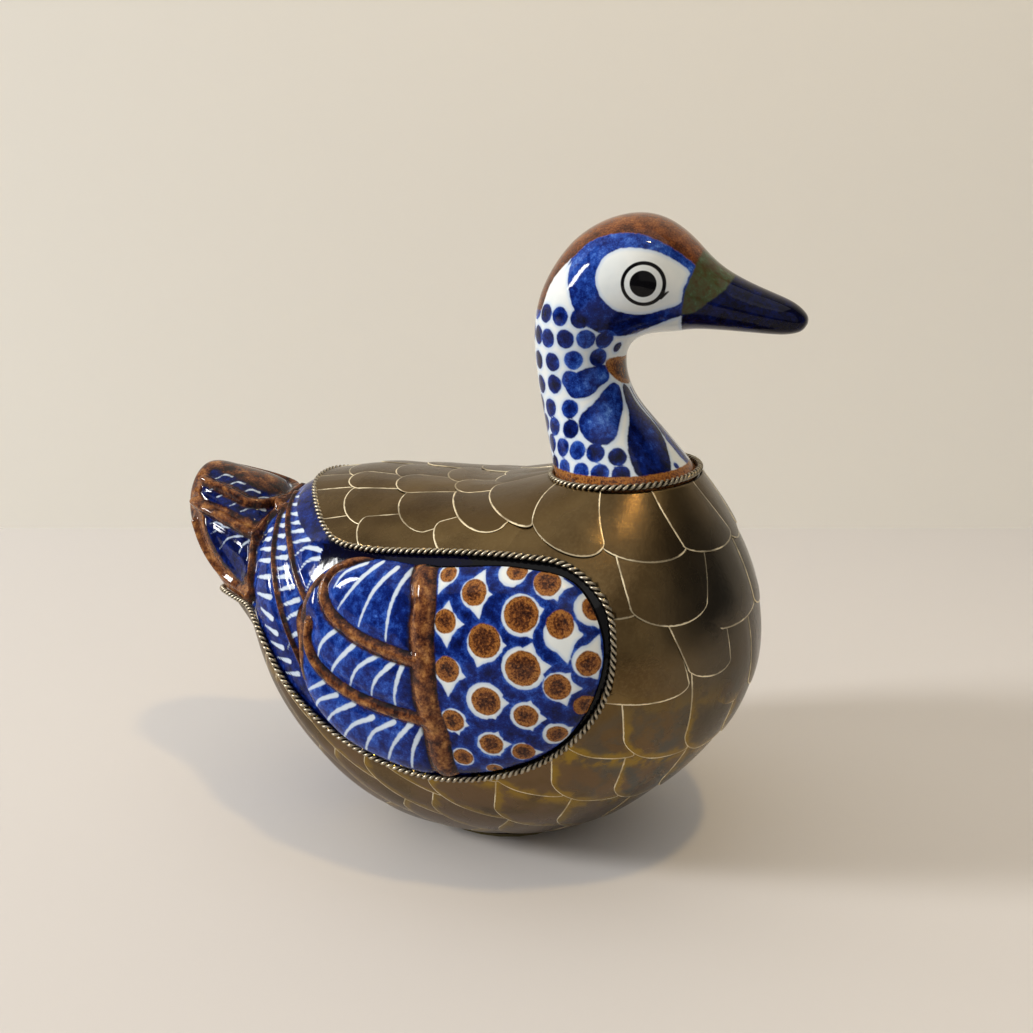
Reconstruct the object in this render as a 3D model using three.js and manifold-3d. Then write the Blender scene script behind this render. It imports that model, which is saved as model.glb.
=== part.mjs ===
// A duck ornament: one hollow fired-clay figure, glazed and painted, clad in lapped brass feathers.
// Twisted wire borders the brass at the neck and round the window that leaves wings and tail bare.
// Millimetres, +Z up. The duck looks along +X and rests on the plane z = 0.

import * as THREE from "three";
import { mergeVertices } from "three/addons/utils/BufferGeometryUtils.js";
import Module from "manifold-3d";

const wasm = await Module();
wasm.setup();

// Sections of the body, from the neck ring round the breast and belly to the end of the tail.
// Each is an ellipse square to the side view: back point x, z, front point x, z, half width.
const BODY_SECTIONS = [
  [39, 164.5, 97.5, 167.5, 34],
  [12, 159, 116, 137, 52],
  [-8, 159, 124.5, 102, 66],
  [-27, 159, 115.5, 66, 73],
  [-45, 159, 85.5, 30, 75],
  [-61, 157, 43, 4.5, 72],
  [-74, 154, -12.5, 0, 64.5],
  [-83, 149, -49, 18.5, 57],
  [-89, 144, -70, 43, 49],
  [-93, 144, -82, 66, 42],
  [-103, 151, -98, 79, 34],
  [-118, 155, -117, 94, 27],
  [-132, 157, -135, 118, 17],
  [-137, 150, -138, 131, 9],
];
// Sections of the neck, head and bill, upwards from the same neck ring.
const NECK_SECTIONS = [
  BODY_SECTIONS[0],
  [32, 196, 82, 185, 23],
  [29, 217, 70, 199, 21],
  [32, 240, 66, 213, 23],
  [49, 263, 70, 221, 26],
  [72, 271, 78, 224, 27],
  [89, 263, 87, 225, 22],
  [103, 250, 97, 226, 16],
  [121, 241, 119, 225, 11],
  [130.5, 236.8, 128.5, 224.9, 8.5],
  [135, 233, 133.5, 226.2, 5.5],
  [136, 230.5, 135.8, 229, 1.2],
];
const WALL = 5; // thickness of the fired clay
const CAVITY_HEAD_END = 5.6; // section number in the head where the hollow stops
const CAVITY_TAIL_END = 10.2; // section number in the tail root where the hollow stops
const VENT_DIAMETER = 3.6; // lets the air out of the hollow while it is fired

// The wing swells out of the body side: its outline in the side view, and its shoulder profile.
const WING_OUTLINE = [
  [75, 118],
  [63.5, 136],
  [41, 140.5],
  [2, 137],
  [-33, 134],
  [-48, 123],
  [-53, 104],
  [-42, 80],
  [-20, 64.5],
  [6, 57.5],
  [33, 61],
  [57.5, 74],
  [71.5, 94],
];
const WING_SWELL = 5; // how far the wing stands proud of the body
const WING_SHOULDER = 7; // width of the rounded shoulder round the wing
const WING_ROOT = 2.5; // how far the wing solid reaches under the body's surface
const WING_CROWN = 28; // width of the band inside the outline that follows the body's curve

// Raised ribs in the side view: those on the wing, those on the rump, and the tail's ridges.
const WING_RIBS = [
  [[4, 139], [7, 126], [7.5, 112], [9, 96], [14, 77], [17, 59]],
  [[7.5, 105], [-12, 107.5], [-25, 110.7], [-36, 117], [-40, 124], [-37, 130.5], [-27, 136]],
  [[10, 82], [-5, 83.7], [-19, 85.8], [-32, 89.2], [-42, 96], [-46, 103], [-46, 110]],
];
const RUMP_RIBS = [
  [[-83, 145], [-79.5, 138], [-75, 127], [-69, 115], [-63, 104.5], [-55, 92]],
  [[-80, 149], [-76, 144], [-68, 135], [-60, 124.5], [-52, 116]],
  [[-85, 147], [-90, 139], [-92, 132], [-89.5, 122], [-89, 110]],
];
const TAIL_RIDGES = [
  [[-86, 143], [-99, 144], [-112, 148], [-129, 152]],
  [[-92, 133], [-99, 134.8], [-111.5, 138], [-131, 142]],
  [[-90, 110], [-98, 110.5], [-111, 114], [-124, 122], [-132, 130]],
];
const RIB_RADIUS = 3;
const RIDGE_RADIUS = 2.4;
const RIB_SUNK = 1; // depth of a rib's centre line under the surface it stands on

// Brass feathers, in courses counted from the neck ring, each lapping over the next course.
const SHEET = 0.4; // brass thickness
const SEAT = 0.6; // clearance between the clay and a feather's root
const LAP_GAP = 1.1; // clearance between a feather and the one it laps, for their flat facets
const BACK_PITCH = 23.5; // distance between courses along the back
const FRONT_PITCH = 30; // distance between courses down the breast and belly
const TIP_REACH = 2; // how far the tips pass their course line
const TIP_DEPTH = 8; // length of the round tip beyond the feather's straight sides
const ROOT_LAP = 3; // least cover of the next course's root
const ROOT_START = 0.5; // first course's root, measured from the neck ring
const SIDE_GAP = 0.5; // slit between two feathers of a course
const COLLAR_FEATHERS = 10; // feathers round each of the first two courses
const BODY_FEATHERS = 18; // spacing of the later courses, as feathers to the full round
const RUMP_FEATHERS = 15; // the same under the belly and up the rump
const BREAST_COURSE = 3; // course of separate feathers between the wings' front edges
const BREAST_FEATHERS = 7;
const BACK_COURSES = [3, 4, 5];
const BACK_FEATHERS = 6; // in each course of the back
const BELLY_COURSES = [4, 5, 6]; // strips of joined feathers, from the breast down
const RUMP_COURSES = [7, 8, 9, 10, 11, 12]; // strips of joined feathers up to the tail
const STRIP_SPREAD = 180; // least angle that a strip spans in degrees, before the window trims it
const LEAST_SHARE = 0.03; // smaller offcuts of a feather or strip are left off

// The bare window in the brass, as a line in the side view from the back to the tail's underside.
const WINDOW_LINE = [
  [-75, 161],
  [-71.5, 156],
  [-67.5, 153.2],
  [-62, 150.4],
  [-56, 147],
  [-49.5, 143.2],
  [-41, 140],
  [-28, 139.5],
  [-8, 141],
  [16, 143.4],
  [42, 144.2],
  [58, 142.8],
  [69, 136.5],
  [75.5, 128.5],
  [78, 118],
  [77.6, 104],
  [73.5, 91],
  [64, 77],
  [50, 65],
  [29.5, 56],
  [4.5, 51.6],
  [-18, 54.6],
  [-40, 63.3],
  [-60, 76.5],
  [-72, 90],
  [-80, 99],
  [-90, 103],
  [-102, 103],
  [-111, 103.5],
  [-118, 102],
  [-123, 97],
  [-125, 88],
];
const ROPE_DIAMETER = 2.7; // two strands of wire, twisted
const GAP = 0.3; // clearance between pieces that lie against each other

// The flat oval sole that the ornament rests on.
const SOLE_CENTRE_X = 12;
const SOLE_LENGTH = 66;
const SOLE_WIDTH = 52;
const SOLE_THICKNESS = 1.2;

// Fineness of the meshes.
const BODY_ROWS = 24;
const NECK_ROWS = 12;
const AROUND = 24;
const ROW_CROWDING = 1.35; // rows lie closer together towards the neck ring
const COLLAR_CELLS = [4, 3]; // cells across and along a feather of the first two courses
const FEATHER_CELLS = [4, 3]; // the same for the later courses
const RUMP_CELLS = [4, 3]; // the same on the rump, where the skin curves most
const ROPE_STEP = 8;
const ROPE_SIDES = 5;
const RIB_STEP = 11;
const RIB_SIDES = 5;
const RIB_SAMPLES = 12;
const VENT_SIDES = 12;
const WING_POINTS = 30;
const SHOULDER_SHARES = [0.1, 0.35, 1]; // where rings lie across the wing's rounded shoulder
const NECK_ROPE_SAMPLES = 36;
const WINDOW_ROPE_SAMPLES = 90; // on each side of the duck
const WINDOW_ROPE_KNOTS = 140;
const WINDOW_CUT_POINTS = 120;
const HALVINGS = 24;
const WALK_STEPS = 240;
const SIDE_STEPS = 80;
const SLIGHT = 1e-3; // step for slopes, in section number or radians
const WELD = 1e-4; // points closer than this are one

// Joining and cutting of closed meshes.
function solid(geometry) {
  const bare = geometry.clone();
  bare.deleteAttribute("normal");
  bare.deleteAttribute("uv");
  const merged = mergeVertices(bare, WELD);
  const vertProperties = merged.attributes.position.array;
  const triVerts = new Uint32Array(merged.index.array);
  return new wasm.Manifold(new wasm.Mesh({ numProp: 3, vertProperties, triVerts }));
}

function geometryOf(manifold) {
  const mesh = manifold.getMesh();
  const geometry = new THREE.BufferGeometry();
  geometry.setAttribute("position", new THREE.BufferAttribute(mesh.vertProperties, 3));
  geometry.setIndex(new THREE.BufferAttribute(mesh.triVerts, 1));
  geometry.computeVertexNormals();
  return geometry;
}

function union(solids) {
  return solids.reduce((sum, next) => sum.add(next));
}

// Natural cubic spline through values at 0, 1, 2 and so on.
function spline(values) {
  const last = values.length - 1;
  const bend = new Array(last + 1).fill(0);
  const work = new Array(last + 1).fill(0);
  for (let i = 1; i < last; i++) {
    const pivot = 0.5 * bend[i - 1] + 2;
    const curve = values[i + 1] - 2 * values[i] + values[i - 1];
    bend[i] = -0.5 / pivot;
    work[i] = (3 * curve - 0.5 * work[i - 1]) / pivot;
  }
  for (let i = last - 1; i > 0; i--) bend[i] = bend[i] * bend[i + 1] + work[i];
  return (u) => {
    const i = Math.min(Math.max(Math.floor(u), 0), last - 1);
    const b = u - i;
    const a = 1 - b;
    const swing = (a ** 3 - a) * bend[i] + (b ** 3 - b) * bend[i + 1];
    return a * values[i] + b * values[i + 1] + swing / 6;
  };
}

// A surface lofted through elliptical sections. Angle 0 is the back, and +Y is at +90 degrees.
// outward is 1 where the sections run down and back from the first one, and -1 where they rise.
class Skin {
  constructor(sections, outward) {
    this.last = sections.length - 1;
    this.outward = outward;
    this.tracks = [0, 1, 2, 3, 4].map((k) => spline(sections.map((row) => row[k])));
    this.walks = new Map();
  }

  point(u, angle) {
    const [backX, backZ, frontX, frontZ, halfWidth] = this.tracks.map((track) => track(u));
    const share = (1 + Math.cos(angle)) / 2;
    const x = frontX + (backX - frontX) * share;
    const z = frontZ + (backZ - frontZ) * share;
    return new THREE.Vector3(x, halfWidth * Math.sin(angle), z);
  }

  normal(u, angle) {
    const along = this.point(u + SLIGHT, angle).sub(this.point(u - SLIGHT, angle));
    const round = this.point(u, angle + SLIGHT).sub(this.point(u, angle - SLIGHT));
    return round.cross(along).normalize().multiplyScalar(this.outward);
  }

  lifted(u, angle, height) {
    return this.point(u, angle).addScaledVector(this.normal(u, angle), height);
  }

  // Lengths along the skin from section 0, at one angle, at even section numbers.
  walk(angle) {
    const key = angle.toFixed(4);
    if (!this.walks.has(key)) {
      const lengths = [0];
      let before = this.point(0, angle);
      for (let i = 1; i <= WALK_STEPS; i++) {
        const here = this.point((i / WALK_STEPS) * this.last, angle);
        lengths.push(lengths[i - 1] + here.distanceTo(before));
        before = here;
      }
      this.walks.set(key, lengths);
    }
    return this.walks.get(key);
  }

  // Section number reached at a distance along the skin from section 0.
  sectionAt(angle, distance) {
    const lengths = this.walk(angle);
    const next = Math.max(lengths.findIndex((length) => length > distance), 1);
    const share = (distance - lengths[next - 1]) / (lengths[next] - lengths[next - 1]);
    return ((next - 1 + share) / WALK_STEPS) * this.last;
  }

  // Section number and angle of the skin point seen at x, z in the side view.
  fromSide(x, z) {
    const miss = (u) => {
      const [backX, backZ, frontX, frontZ] = this.tracks.map((track) => track(u));
      const dx = frontX - backX;
      const dz = frontZ - backZ;
      const share = 1 - ((x - backX) * dx + (z - backZ) * dz) / (dx * dx + dz * dz);
      return { off: dx * (z - backZ) - dz * (x - backX), share };
    };
    let best = { outside: Infinity };
    const step = this.last / SIDE_STEPS;
    let b = { u: 0, ...miss(0) };
    for (let i = 1; i <= SIDE_STEPS; i++) {
      const a = b;
      b = { u: i * step, ...miss(i * step) };
      if (a.off * b.off > 0) continue;
      const guess = a.u + (step * a.off) / (a.off - b.off || 1);
      const near = miss(guess);
      const from = near.off * a.off > 0 ? b : a;
      const section = guess + ((from.u - guess) * near.off) / (near.off - from.off || 1);
      const share = miss(section).share;
      const outside = Math.max(-share, share - 1, 0);
      if (outside < best.outside) best = { outside, section, share };
    }
    const cosine = Math.min(Math.max(2 * best.share - 1, -1), 1);
    return { section: best.section, angle: Math.acos(cosine), outside: best.outside };
  }
}

const body = new Skin(BODY_SECTIONS, 1);
const neck = new Skin(NECK_SECTIONS, -1);

// Side of the duck: its right is at -Y.
const SIDES = { right: -1, left: 1 };

function sidePoint(x, z, side, height) {
  const { section, angle } = body.fromSide(x, z);
  return body.lifted(section, side * angle, height);
}

// A closed body through rings of points, with a flat fan over each end.
function loft(rings) {
  const count = rings[0].length;
  const centre = (ring) =>
    ring.reduce((sum, p) => sum.add(p), new THREE.Vector3()).divideScalar(count);
  const points = [...rings.flat(), centre(rings[0]), centre(rings.at(-1))];
  const first = rings.length * count;
  const index = [];
  for (let j = 0; j < count; j++) {
    const k = (j + 1) % count;
    const end = (rings.length - 1) * count;
    for (let i = 0; i < rings.length - 1; i++) {
      const a = i * count;
      index.push(a + j, a + k, a + count + k, a + j, a + count + k, a + count + j);
    }
    index.push(first, k, j, first + 1, end + j, end + k);
  }
  const geometry = new THREE.BufferGeometry().setFromPoints(points);
  geometry.setIndex(index);
  return geometry;
}

// A closed sheet between two grids of points: the lower one and the upper one.
function plate(lower, upper) {
  const rows = lower.length;
  const columns = lower[0].length;
  const points = [...lower.flat(), ...upper.flat()];
  const lift = rows * columns;
  const index = [];
  const quad = (a, b, c, d) => index.push(a, b, c, a, c, d);
  for (let i = 0; i < rows - 1; i++)
    for (let j = 0; j < columns - 1; j++) {
      const a = i * columns + j;
      quad(a, a + columns, a + columns + 1, a + 1);
      quad(lift + a, lift + a + 1, lift + a + columns + 1, lift + a + columns);
    }
  const rim = [];
  for (let j = 0; j < columns - 1; j++) rim.push(j);
  for (let i = 0; i < rows - 1; i++) rim.push(i * columns + columns - 1);
  for (let j = columns - 1; j > 0; j--) rim.push((rows - 1) * columns + j);
  for (let i = rows - 1; i > 0; i--) rim.push(i * columns);
  rim.forEach((a, i) => {
    const b = rim[(i + 1) % rim.length];
    quad(a, b, lift + b, lift + a);
  });
  const geometry = new THREE.BufferGeometry().setFromPoints(points);
  geometry.setIndex(index);
  return geometry;
}

// A stretch of another curve, between two shares of its length that may pass its ends.
class Stretch extends THREE.Curve {
  constructor(whole, from, to) {
    super();
    Object.assign(this, { whole, from, to });
  }

  getPoint(t) {
    const share = this.from + (this.to - this.from) * t;
    return this.whole.getPointAt(share - Math.floor(share));
  }
}

function tube(path, radius, sides, step) {
  const section = new THREE.Shape();
  for (let i = 0; i < sides; i++) {
    const turn = (2 * Math.PI * i) / sides;
    section[i ? "lineTo" : "moveTo"](radius * Math.cos(turn), radius * Math.sin(turn));
  }
  section.closePath();
  const steps = Math.max(4, Math.round(path.getLength() / step));
  return new THREE.ExtrudeGeometry(section, { steps, extrudePath: path });
}

function box(low, high) {
  const size = new THREE.Vector3().subVectors(high, low);
  const middle = new THREE.Vector3().addVectors(low, high).divideScalar(2);
  const geometry = new THREE.BoxGeometry(size.x, size.y, size.z);
  return geometry.translate(middle.x, middle.y, middle.z);
}

function oval(length, width, low, high) {
  const shape = new THREE.Shape().absellipse(0, 0, length / 2, width / 2, 0, 2 * Math.PI);
  const depth = high - low;
  const geometry = new THREE.ExtrudeGeometry(shape, { depth, bevelEnabled: false });
  return geometry.translate(SOLE_CENTRE_X, 0, low);
}

const REACH = 400; // larger than the ornament
const FLAT = SOLE_THICKNESS + GAP; // height of the clay's flat underside

function slab(low, high) {
  const a = new THREE.Vector3(-REACH, -REACH, low);
  const b = new THREE.Vector3(REACH, REACH, high);
  return solid(box(a, b));
}

// The fired clay.
function ringAt(skin, u, count, inset) {
  const ring = [];
  for (let j = 0; j < count; j++) {
    const angle = (2 * Math.PI * j) / count;
    ring.push(skin.lifted(u, angle, -inset));
  }
  return ring;
}

// Rings of the whole figure from head to tail. coarse is 1, or 2 for half as many points each way.
function figureRings(headEnd, tailEnd, coarse, inset) {
  const rings = [];
  const crowd = (share) => share ** ROW_CROWDING;
  const neckRows = NECK_ROWS / coarse;
  const bodyRows = BODY_ROWS / coarse;
  const count = AROUND / coarse;
  for (let i = neckRows; i > 0; i--)
    rings.push(ringAt(neck, headEnd * crowd(i / neckRows), count, inset));
  for (let i = 0; i <= bodyRows; i++)
    rings.push(ringAt(body, tailEnd * crowd(i / bodyRows), count, inset));
  return rings;
}

function wing(side) {
  const outline = new THREE.CatmullRomCurve3(
    WING_OUTLINE.map(([x, z]) => new THREE.Vector3(x, 0, z)),
    true,
  );
  const rim = outline.getSpacedPoints(WING_POINTS).slice(0, -1);
  const middle = new THREE.Box3().setFromPoints(rim).getCenter(new THREE.Vector3());
  const ring = (inset, height) =>
    rim.map((p) => {
      const radius = p.distanceTo(middle);
      const at = p.clone().lerp(middle, inset / radius);
      return sidePoint(at.x, at.z, side, height);
    });
  const rings = [ring(WING_SHOULDER, -WING_ROOT), ring(0, -WING_ROOT)];
  for (const share of SHOULDER_SHARES) {
    const rise = Math.sqrt(1 - (1 - share) ** 2);
    rings.push(ring(share * WING_SHOULDER, WING_SWELL * rise));
  }
  rings.push(ring(WING_CROWN, WING_SWELL));
  if (side > 0) rings.forEach((points) => points.reverse());
  return solid(loft(rings));
}

function rib(points, side, radius, lift) {
  const curve = new THREE.CatmullRomCurve3(
    points.map(([x, z]) => new THREE.Vector3(x, 0, z)),
  );
  const samples = curve.getSpacedPoints(RIB_SAMPLES);
  const path = new THREE.CatmullRomCurve3(
    samples.map((p) => sidePoint(p.x, p.z, side, lift - RIB_SUNK)),
  );
  return solid(tube(path, radius, RIB_SIDES, RIB_STEP));
}

function clayFigure() {
  const outer = solid(loft(figureRings(neck.last, body.last, 1, 0)));
  const hollow = solid(loft(figureRings(CAVITY_HEAD_END, CAVITY_TAIL_END, 2, WALL)));
  const reliefs = Object.values(SIDES).flatMap((side) => [
    wing(side),
    ...WING_RIBS.map((points) => rib(points, side, RIB_RADIUS, WING_SWELL)),
    ...RUMP_RIBS.map((points) => rib(points, side, RIDGE_RADIUS, 0)),
    ...TAIL_RIDGES.map((points) => rib(points, side, RIDGE_RADIUS, 0)),
  ]);
  const ventRadius = VENT_DIAMETER / 2;
  const vent = new THREE.CylinderGeometry(ventRadius, ventRadius, 4 * WALL, VENT_SIDES);
  vent.rotateX(Math.PI / 2).translate(SOLE_CENTRE_X, 0, FLAT);
  return union([outer, ...reliefs])
    .subtract(slab(-REACH, FLAT))
    .subtract(hollow.subtract(slab(-REACH, FLAT + WALL)))
    .subtract(solid(vent));
}

// The twisted wire, as plain rods of its outer diameter.
const ropeRadius = ROPE_DIAMETER / 2;
const ropeLift = ropeRadius + GAP;

function neckPath() {
  const points = [];
  for (let j = 0; j < NECK_ROPE_SAMPLES; j++) {
    const angle = (2 * Math.PI * j) / NECK_ROPE_SAMPLES;
    points.push(neck.lifted(neck.sectionAt(angle, ropeLift), angle, ropeLift));
  }
  return new THREE.CatmullRomCurve3(points, true);
}

const windowLine = new THREE.CatmullRomCurve3(
  WINDOW_LINE.map(([x, z]) => new THREE.Vector3(x, 0, z)),
);

// The window border runs from the tail's underside up the left, over the back and down the right.
function windowPath() {
  const seen = (share) => {
    const p = windowLine.getPointAt(share);
    return body.fromSide(p.x, p.z);
  };
  // Where the line crosses the duck's outline, from a share of it that lies off the duck.
  const crossing = (off, on) => {
    for (let i = 0; i < HALVINGS; i++) {
      const middle = (off + on) / 2;
      if (seen(middle).outside > 0) off = middle;
      else on = middle;
    }
    return on;
  };
  const start = crossing(0, 0.1);
  const end = crossing(1, 0.9);
  const half = (side) => {
    const points = [];
    for (let i = 0; i <= WINDOW_ROPE_SAMPLES; i++) {
      const crowded = (1 - Math.cos((Math.PI * i) / WINDOW_ROPE_SAMPLES)) / 2;
      const at = seen(start + (end - start) * crowded);
      points.push(body.lifted(at.section, side * at.angle, ropeLift));
    }
    return points;
  };
  const loop = [...half(SIDES.left).reverse(), ...half(SIDES.right).slice(1, -1)];
  const spaced = new THREE.CatmullRomCurve3(loop, true).getSpacedPoints(WINDOW_ROPE_KNOTS);
  return new THREE.CatmullRomCurve3(spaced.slice(0, -1), true);
}

// Rod with a butt joint where the closed path begins.
function ropeAlong(path) {
  const half = GAP / 2 / path.getLength();
  return tube(new Stretch(path, half, 1 - half), ropeRadius, ROPE_SIDES, ROPE_STEP);
}

// Room for the rod and its clearance, as two lapping stretches.
function ropeRoom(path) {
  const radius = ropeLift / Math.cos(Math.PI / ROPE_SIDES);
  const lap = 0.01;
  return [0, 0.5].map((from) =>
    solid(tube(new Stretch(path, from - lap, from + 0.5 + lap), radius, ROPE_SIDES, ROPE_STEP)),
  );
}

const neckRope = neckPath();
const windowRope = windowPath();

function brassRoom() {
  const line = windowLine.getSpacedPoints(WINDOW_CUT_POINTS);
  const outline = line.map((p) => new THREE.Vector2(p.x, p.z));
  const below = new THREE.Vector2(-REACH, outline.at(-1).y);
  const above = new THREE.Vector2(-REACH, outline[0].y);
  const shape = new THREE.Shape([...outline, below, above]);
  const window = new THREE.ExtrudeGeometry(shape, { depth: 2 * REACH, bevelEnabled: false });
  window.translate(0, 0, -REACH).rotateX(Math.PI / 2);
  const sole = oval(SOLE_LENGTH + 2 * GAP, SOLE_WIDTH + 2 * GAP, -WALL, WALL);
  return union([
    solid(window),
    ...ropeRoom(windowRope),
    ...ropeRoom(neckRope),
    solid(sole),
    slab(-REACH, GAP),
  ]);
}

// Brass feathers: a strip of tongues that share a root line, or one tongue alone. A tongue's
// outline is straight at the sides and an ellipse's half at the tip.
function pitchAt(angle) {
  return BACK_PITCH + ((FRONT_PITCH - BACK_PITCH) * (1 - Math.cos(angle))) / 2;
}

function feathers(course, middle, step, tongues, [cells, rows]) {
  const columns = tongues * cells;
  const layers = [0, SHEET].map((lift) => {
    const grid = [];
    for (let i = 0; i <= rows; i++) {
      const row = [];
      for (let j = 0; j <= columns; j++) {
        const tongue = Math.min(Math.floor(j / cells), tongues - 1);
        const across = Math.sin(Math.PI * ((j - tongue * cells) / cells - 0.5));
        const centre = middle + step * (tongue - (tongues - 1) / 2);
        row.push(featherPoint(course, centre, step, across, i / rows, lift, j, columns));
      }
      grid.push(row);
    }
    return grid;
  });
  return solid(plate(layers[0], layers[1]));
}

function featherPoint(course, centre, step, across, down, lift, column, columns) {
  const plain = centre + (across * step) / 2;
  const pitch = pitchAt(plain);
  const rootLine = (course - 1) * pitch + TIP_REACH - TIP_DEPTH - ROOT_LAP;
  const root = Math.max(rootLine, ROOT_START);
  const roundness = 1 - Math.sqrt(Math.max(0, 1 - across * across));
  const tip = course * pitch + TIP_REACH - TIP_DEPTH * roundness;
  const distance = root + (tip - root) * down;
  const section = body.sectionAt(plain, distance);
  const beside = body.point(section, plain + SLIGHT);
  const radius = beside.distanceTo(body.point(section, plain)) / SLIGHT;
  const edge = column === 0 ? 1 : column === columns ? -1 : 0;
  const angle = plain + (edge * SIDE_GAP) / 2 / radius;
  const height = SEAT + ((SHEET + LAP_GAP) * (distance - rootLine)) / pitch;
  return body.lifted(section, angle, height + lift);
}

// Materials.
const glaze = new THREE.MeshStandardMaterial({ color: 0x2c4f9e, roughness: 0.12, metalness: 0 });
const brass = new THREE.MeshStandardMaterial({ color: 0x6f6546, roughness: 0.42, metalness: 1 });
const wire = new THREE.MeshStandardMaterial({ color: 0x9a927c, roughness: 0.38, metalness: 1 });

const duck = new THREE.Group();

function addPiece(name, geometry, material) {
  const mesh = new THREE.Mesh(geometry, material);
  mesh.name = name;
  duck.add(mesh);
}

addPiece("ceramic_duck", geometryOf(clayFigure()), glaze);
addPiece("neck_rope", ropeAlong(neckRope), wire);
addPiece("window_rope", ropeAlong(windowRope), wire);
addPiece("sole_plate", oval(SOLE_LENGTH, SOLE_WIDTH, 0, SOLE_THICKNESS), brass);

const room = brassRoom();

function addFeathers(name, whole) {
  const cut = whole.subtract(room).decompose();
  const pieces = cut.filter((piece) => piece.volume() > LEAST_SHARE * whole.volume());
  const marks = pieces.length > 1 ? ["_a", "_b", "_c", "_d"] : [""];
  pieces.forEach((piece, i) => addPiece(name + marks[i], geometryOf(piece), brass));
}

const collarStep = (2 * Math.PI) / COLLAR_FEATHERS;
for (const course of [1, 2])
  for (let i = 0; i < COLLAR_FEATHERS; i++) {
    const middle = Math.PI + collarStep * (i + (course - 1) / 2);
    const name = course === 1 ? "neck_feather_" : "shoulder_feather_";
    addFeathers(name + (i + 1), feathers(course, middle, collarStep, 1, COLLAR_CELLS));
  }

const bodyStep = (2 * Math.PI) / BODY_FEATHERS;
for (let i = 0; i < BREAST_FEATHERS; i++) {
  const middle = Math.PI + bodyStep * (i - (BREAST_FEATHERS - 1) / 2);
  const whole = feathers(BREAST_COURSE, middle, bodyStep, 1, FEATHER_CELLS);
  addFeathers("breast_feather_" + (i + 1), whole);
}
for (const course of BACK_COURSES)
  for (let i = 0; i < BACK_FEATHERS; i++) {
    const middle = bodyStep * (i - (BACK_FEATHERS - 1 + (course % 2)) / 2);
    const whole = feathers(course, middle, bodyStep, 1, FEATHER_CELLS);
    addFeathers(`back_feather_${course}_${i + 1}`, whole);
  }

// A strip has an even or an odd number of feathers by turns, so that the courses are staggered.
function addStrip(name, course, step, cells) {
  const least = Math.ceil((STRIP_SPREAD * Math.PI) / 180 / step);
  const tongues = least + ((least + course) % 2);
  addFeathers(name + course, feathers(course, Math.PI, step, tongues, cells));
}

for (const course of BELLY_COURSES) addStrip("belly_strip_", course, bodyStep, FEATHER_CELLS);
const rumpStep = (2 * Math.PI) / RUMP_FEATHERS;
for (const course of RUMP_COURSES) addStrip("rump_strip_", course, rumpStep, RUMP_CELLS);

export default duck;
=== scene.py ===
"""A ceramic duck ornament clad in lapped brass feathers. Arrays are in millimetres, objects in metres."""

import math

import bpy
import numpy as np
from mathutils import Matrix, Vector


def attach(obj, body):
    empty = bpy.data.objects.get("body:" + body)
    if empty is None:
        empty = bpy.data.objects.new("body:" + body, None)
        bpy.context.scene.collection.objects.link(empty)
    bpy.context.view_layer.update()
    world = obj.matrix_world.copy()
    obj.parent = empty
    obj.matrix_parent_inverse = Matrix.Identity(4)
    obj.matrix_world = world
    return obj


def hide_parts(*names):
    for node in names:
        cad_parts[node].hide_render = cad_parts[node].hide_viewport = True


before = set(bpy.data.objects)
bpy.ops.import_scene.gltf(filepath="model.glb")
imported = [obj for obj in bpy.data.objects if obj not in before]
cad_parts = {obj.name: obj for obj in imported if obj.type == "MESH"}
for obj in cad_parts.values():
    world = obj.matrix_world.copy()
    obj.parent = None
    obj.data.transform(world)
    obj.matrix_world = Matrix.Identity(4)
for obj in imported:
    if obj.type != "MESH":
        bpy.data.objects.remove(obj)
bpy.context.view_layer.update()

# Camera: a little ahead of the duck's right side and above it, close enough to show perspective.
# Its place and field were fitted to points along the duck's outline.
CAMERA_AZIMUTH = math.radians(18)
CAMERA_ELEVATION = math.radians(16)
CAMERA_DISTANCE = 0.450
CAMERA_TARGET = Vector((0.020, 0.0, 0.143))
CAMERA_FIELD = math.radians(53)

camera = bpy.data.objects.new("camera", bpy.data.cameras.new("camera"))
bpy.context.scene.collection.objects.link(camera)
bpy.context.scene.camera = camera
towards_camera = Vector(
    (
        math.sin(CAMERA_AZIMUTH) * math.cos(CAMERA_ELEVATION),
        -math.cos(CAMERA_AZIMUTH) * math.cos(CAMERA_ELEVATION),
        math.sin(CAMERA_ELEVATION),
    )
)
camera.location = CAMERA_TARGET + CAMERA_DISTANCE * towards_camera
camera.rotation_euler = towards_camera.to_track_quat("Z", "Y").to_euler()
camera.data.angle = CAMERA_FIELD
camera.data.clip_start = 0.01

# Studio: a pale table, a pale wall behind it that is open from its back, and soft light.
# A large window light stands to the left, a small warm lamp hangs above.
FLOOR_COLOUR = (0.62, 0.60, 0.585, 1)
WALL_COLOUR = (0.80, 0.785, 0.735, 1)
WALL_DISTANCE = 0.455
STAGE_REACH = 3.0
TABLE_FRONT = 0.55

ahead = Vector((-math.sin(CAMERA_AZIMUTH), math.cos(CAMERA_AZIMUTH), 0))
aside = Vector((math.cos(CAMERA_AZIMUTH), math.sin(CAMERA_AZIMUTH), 0))


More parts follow.
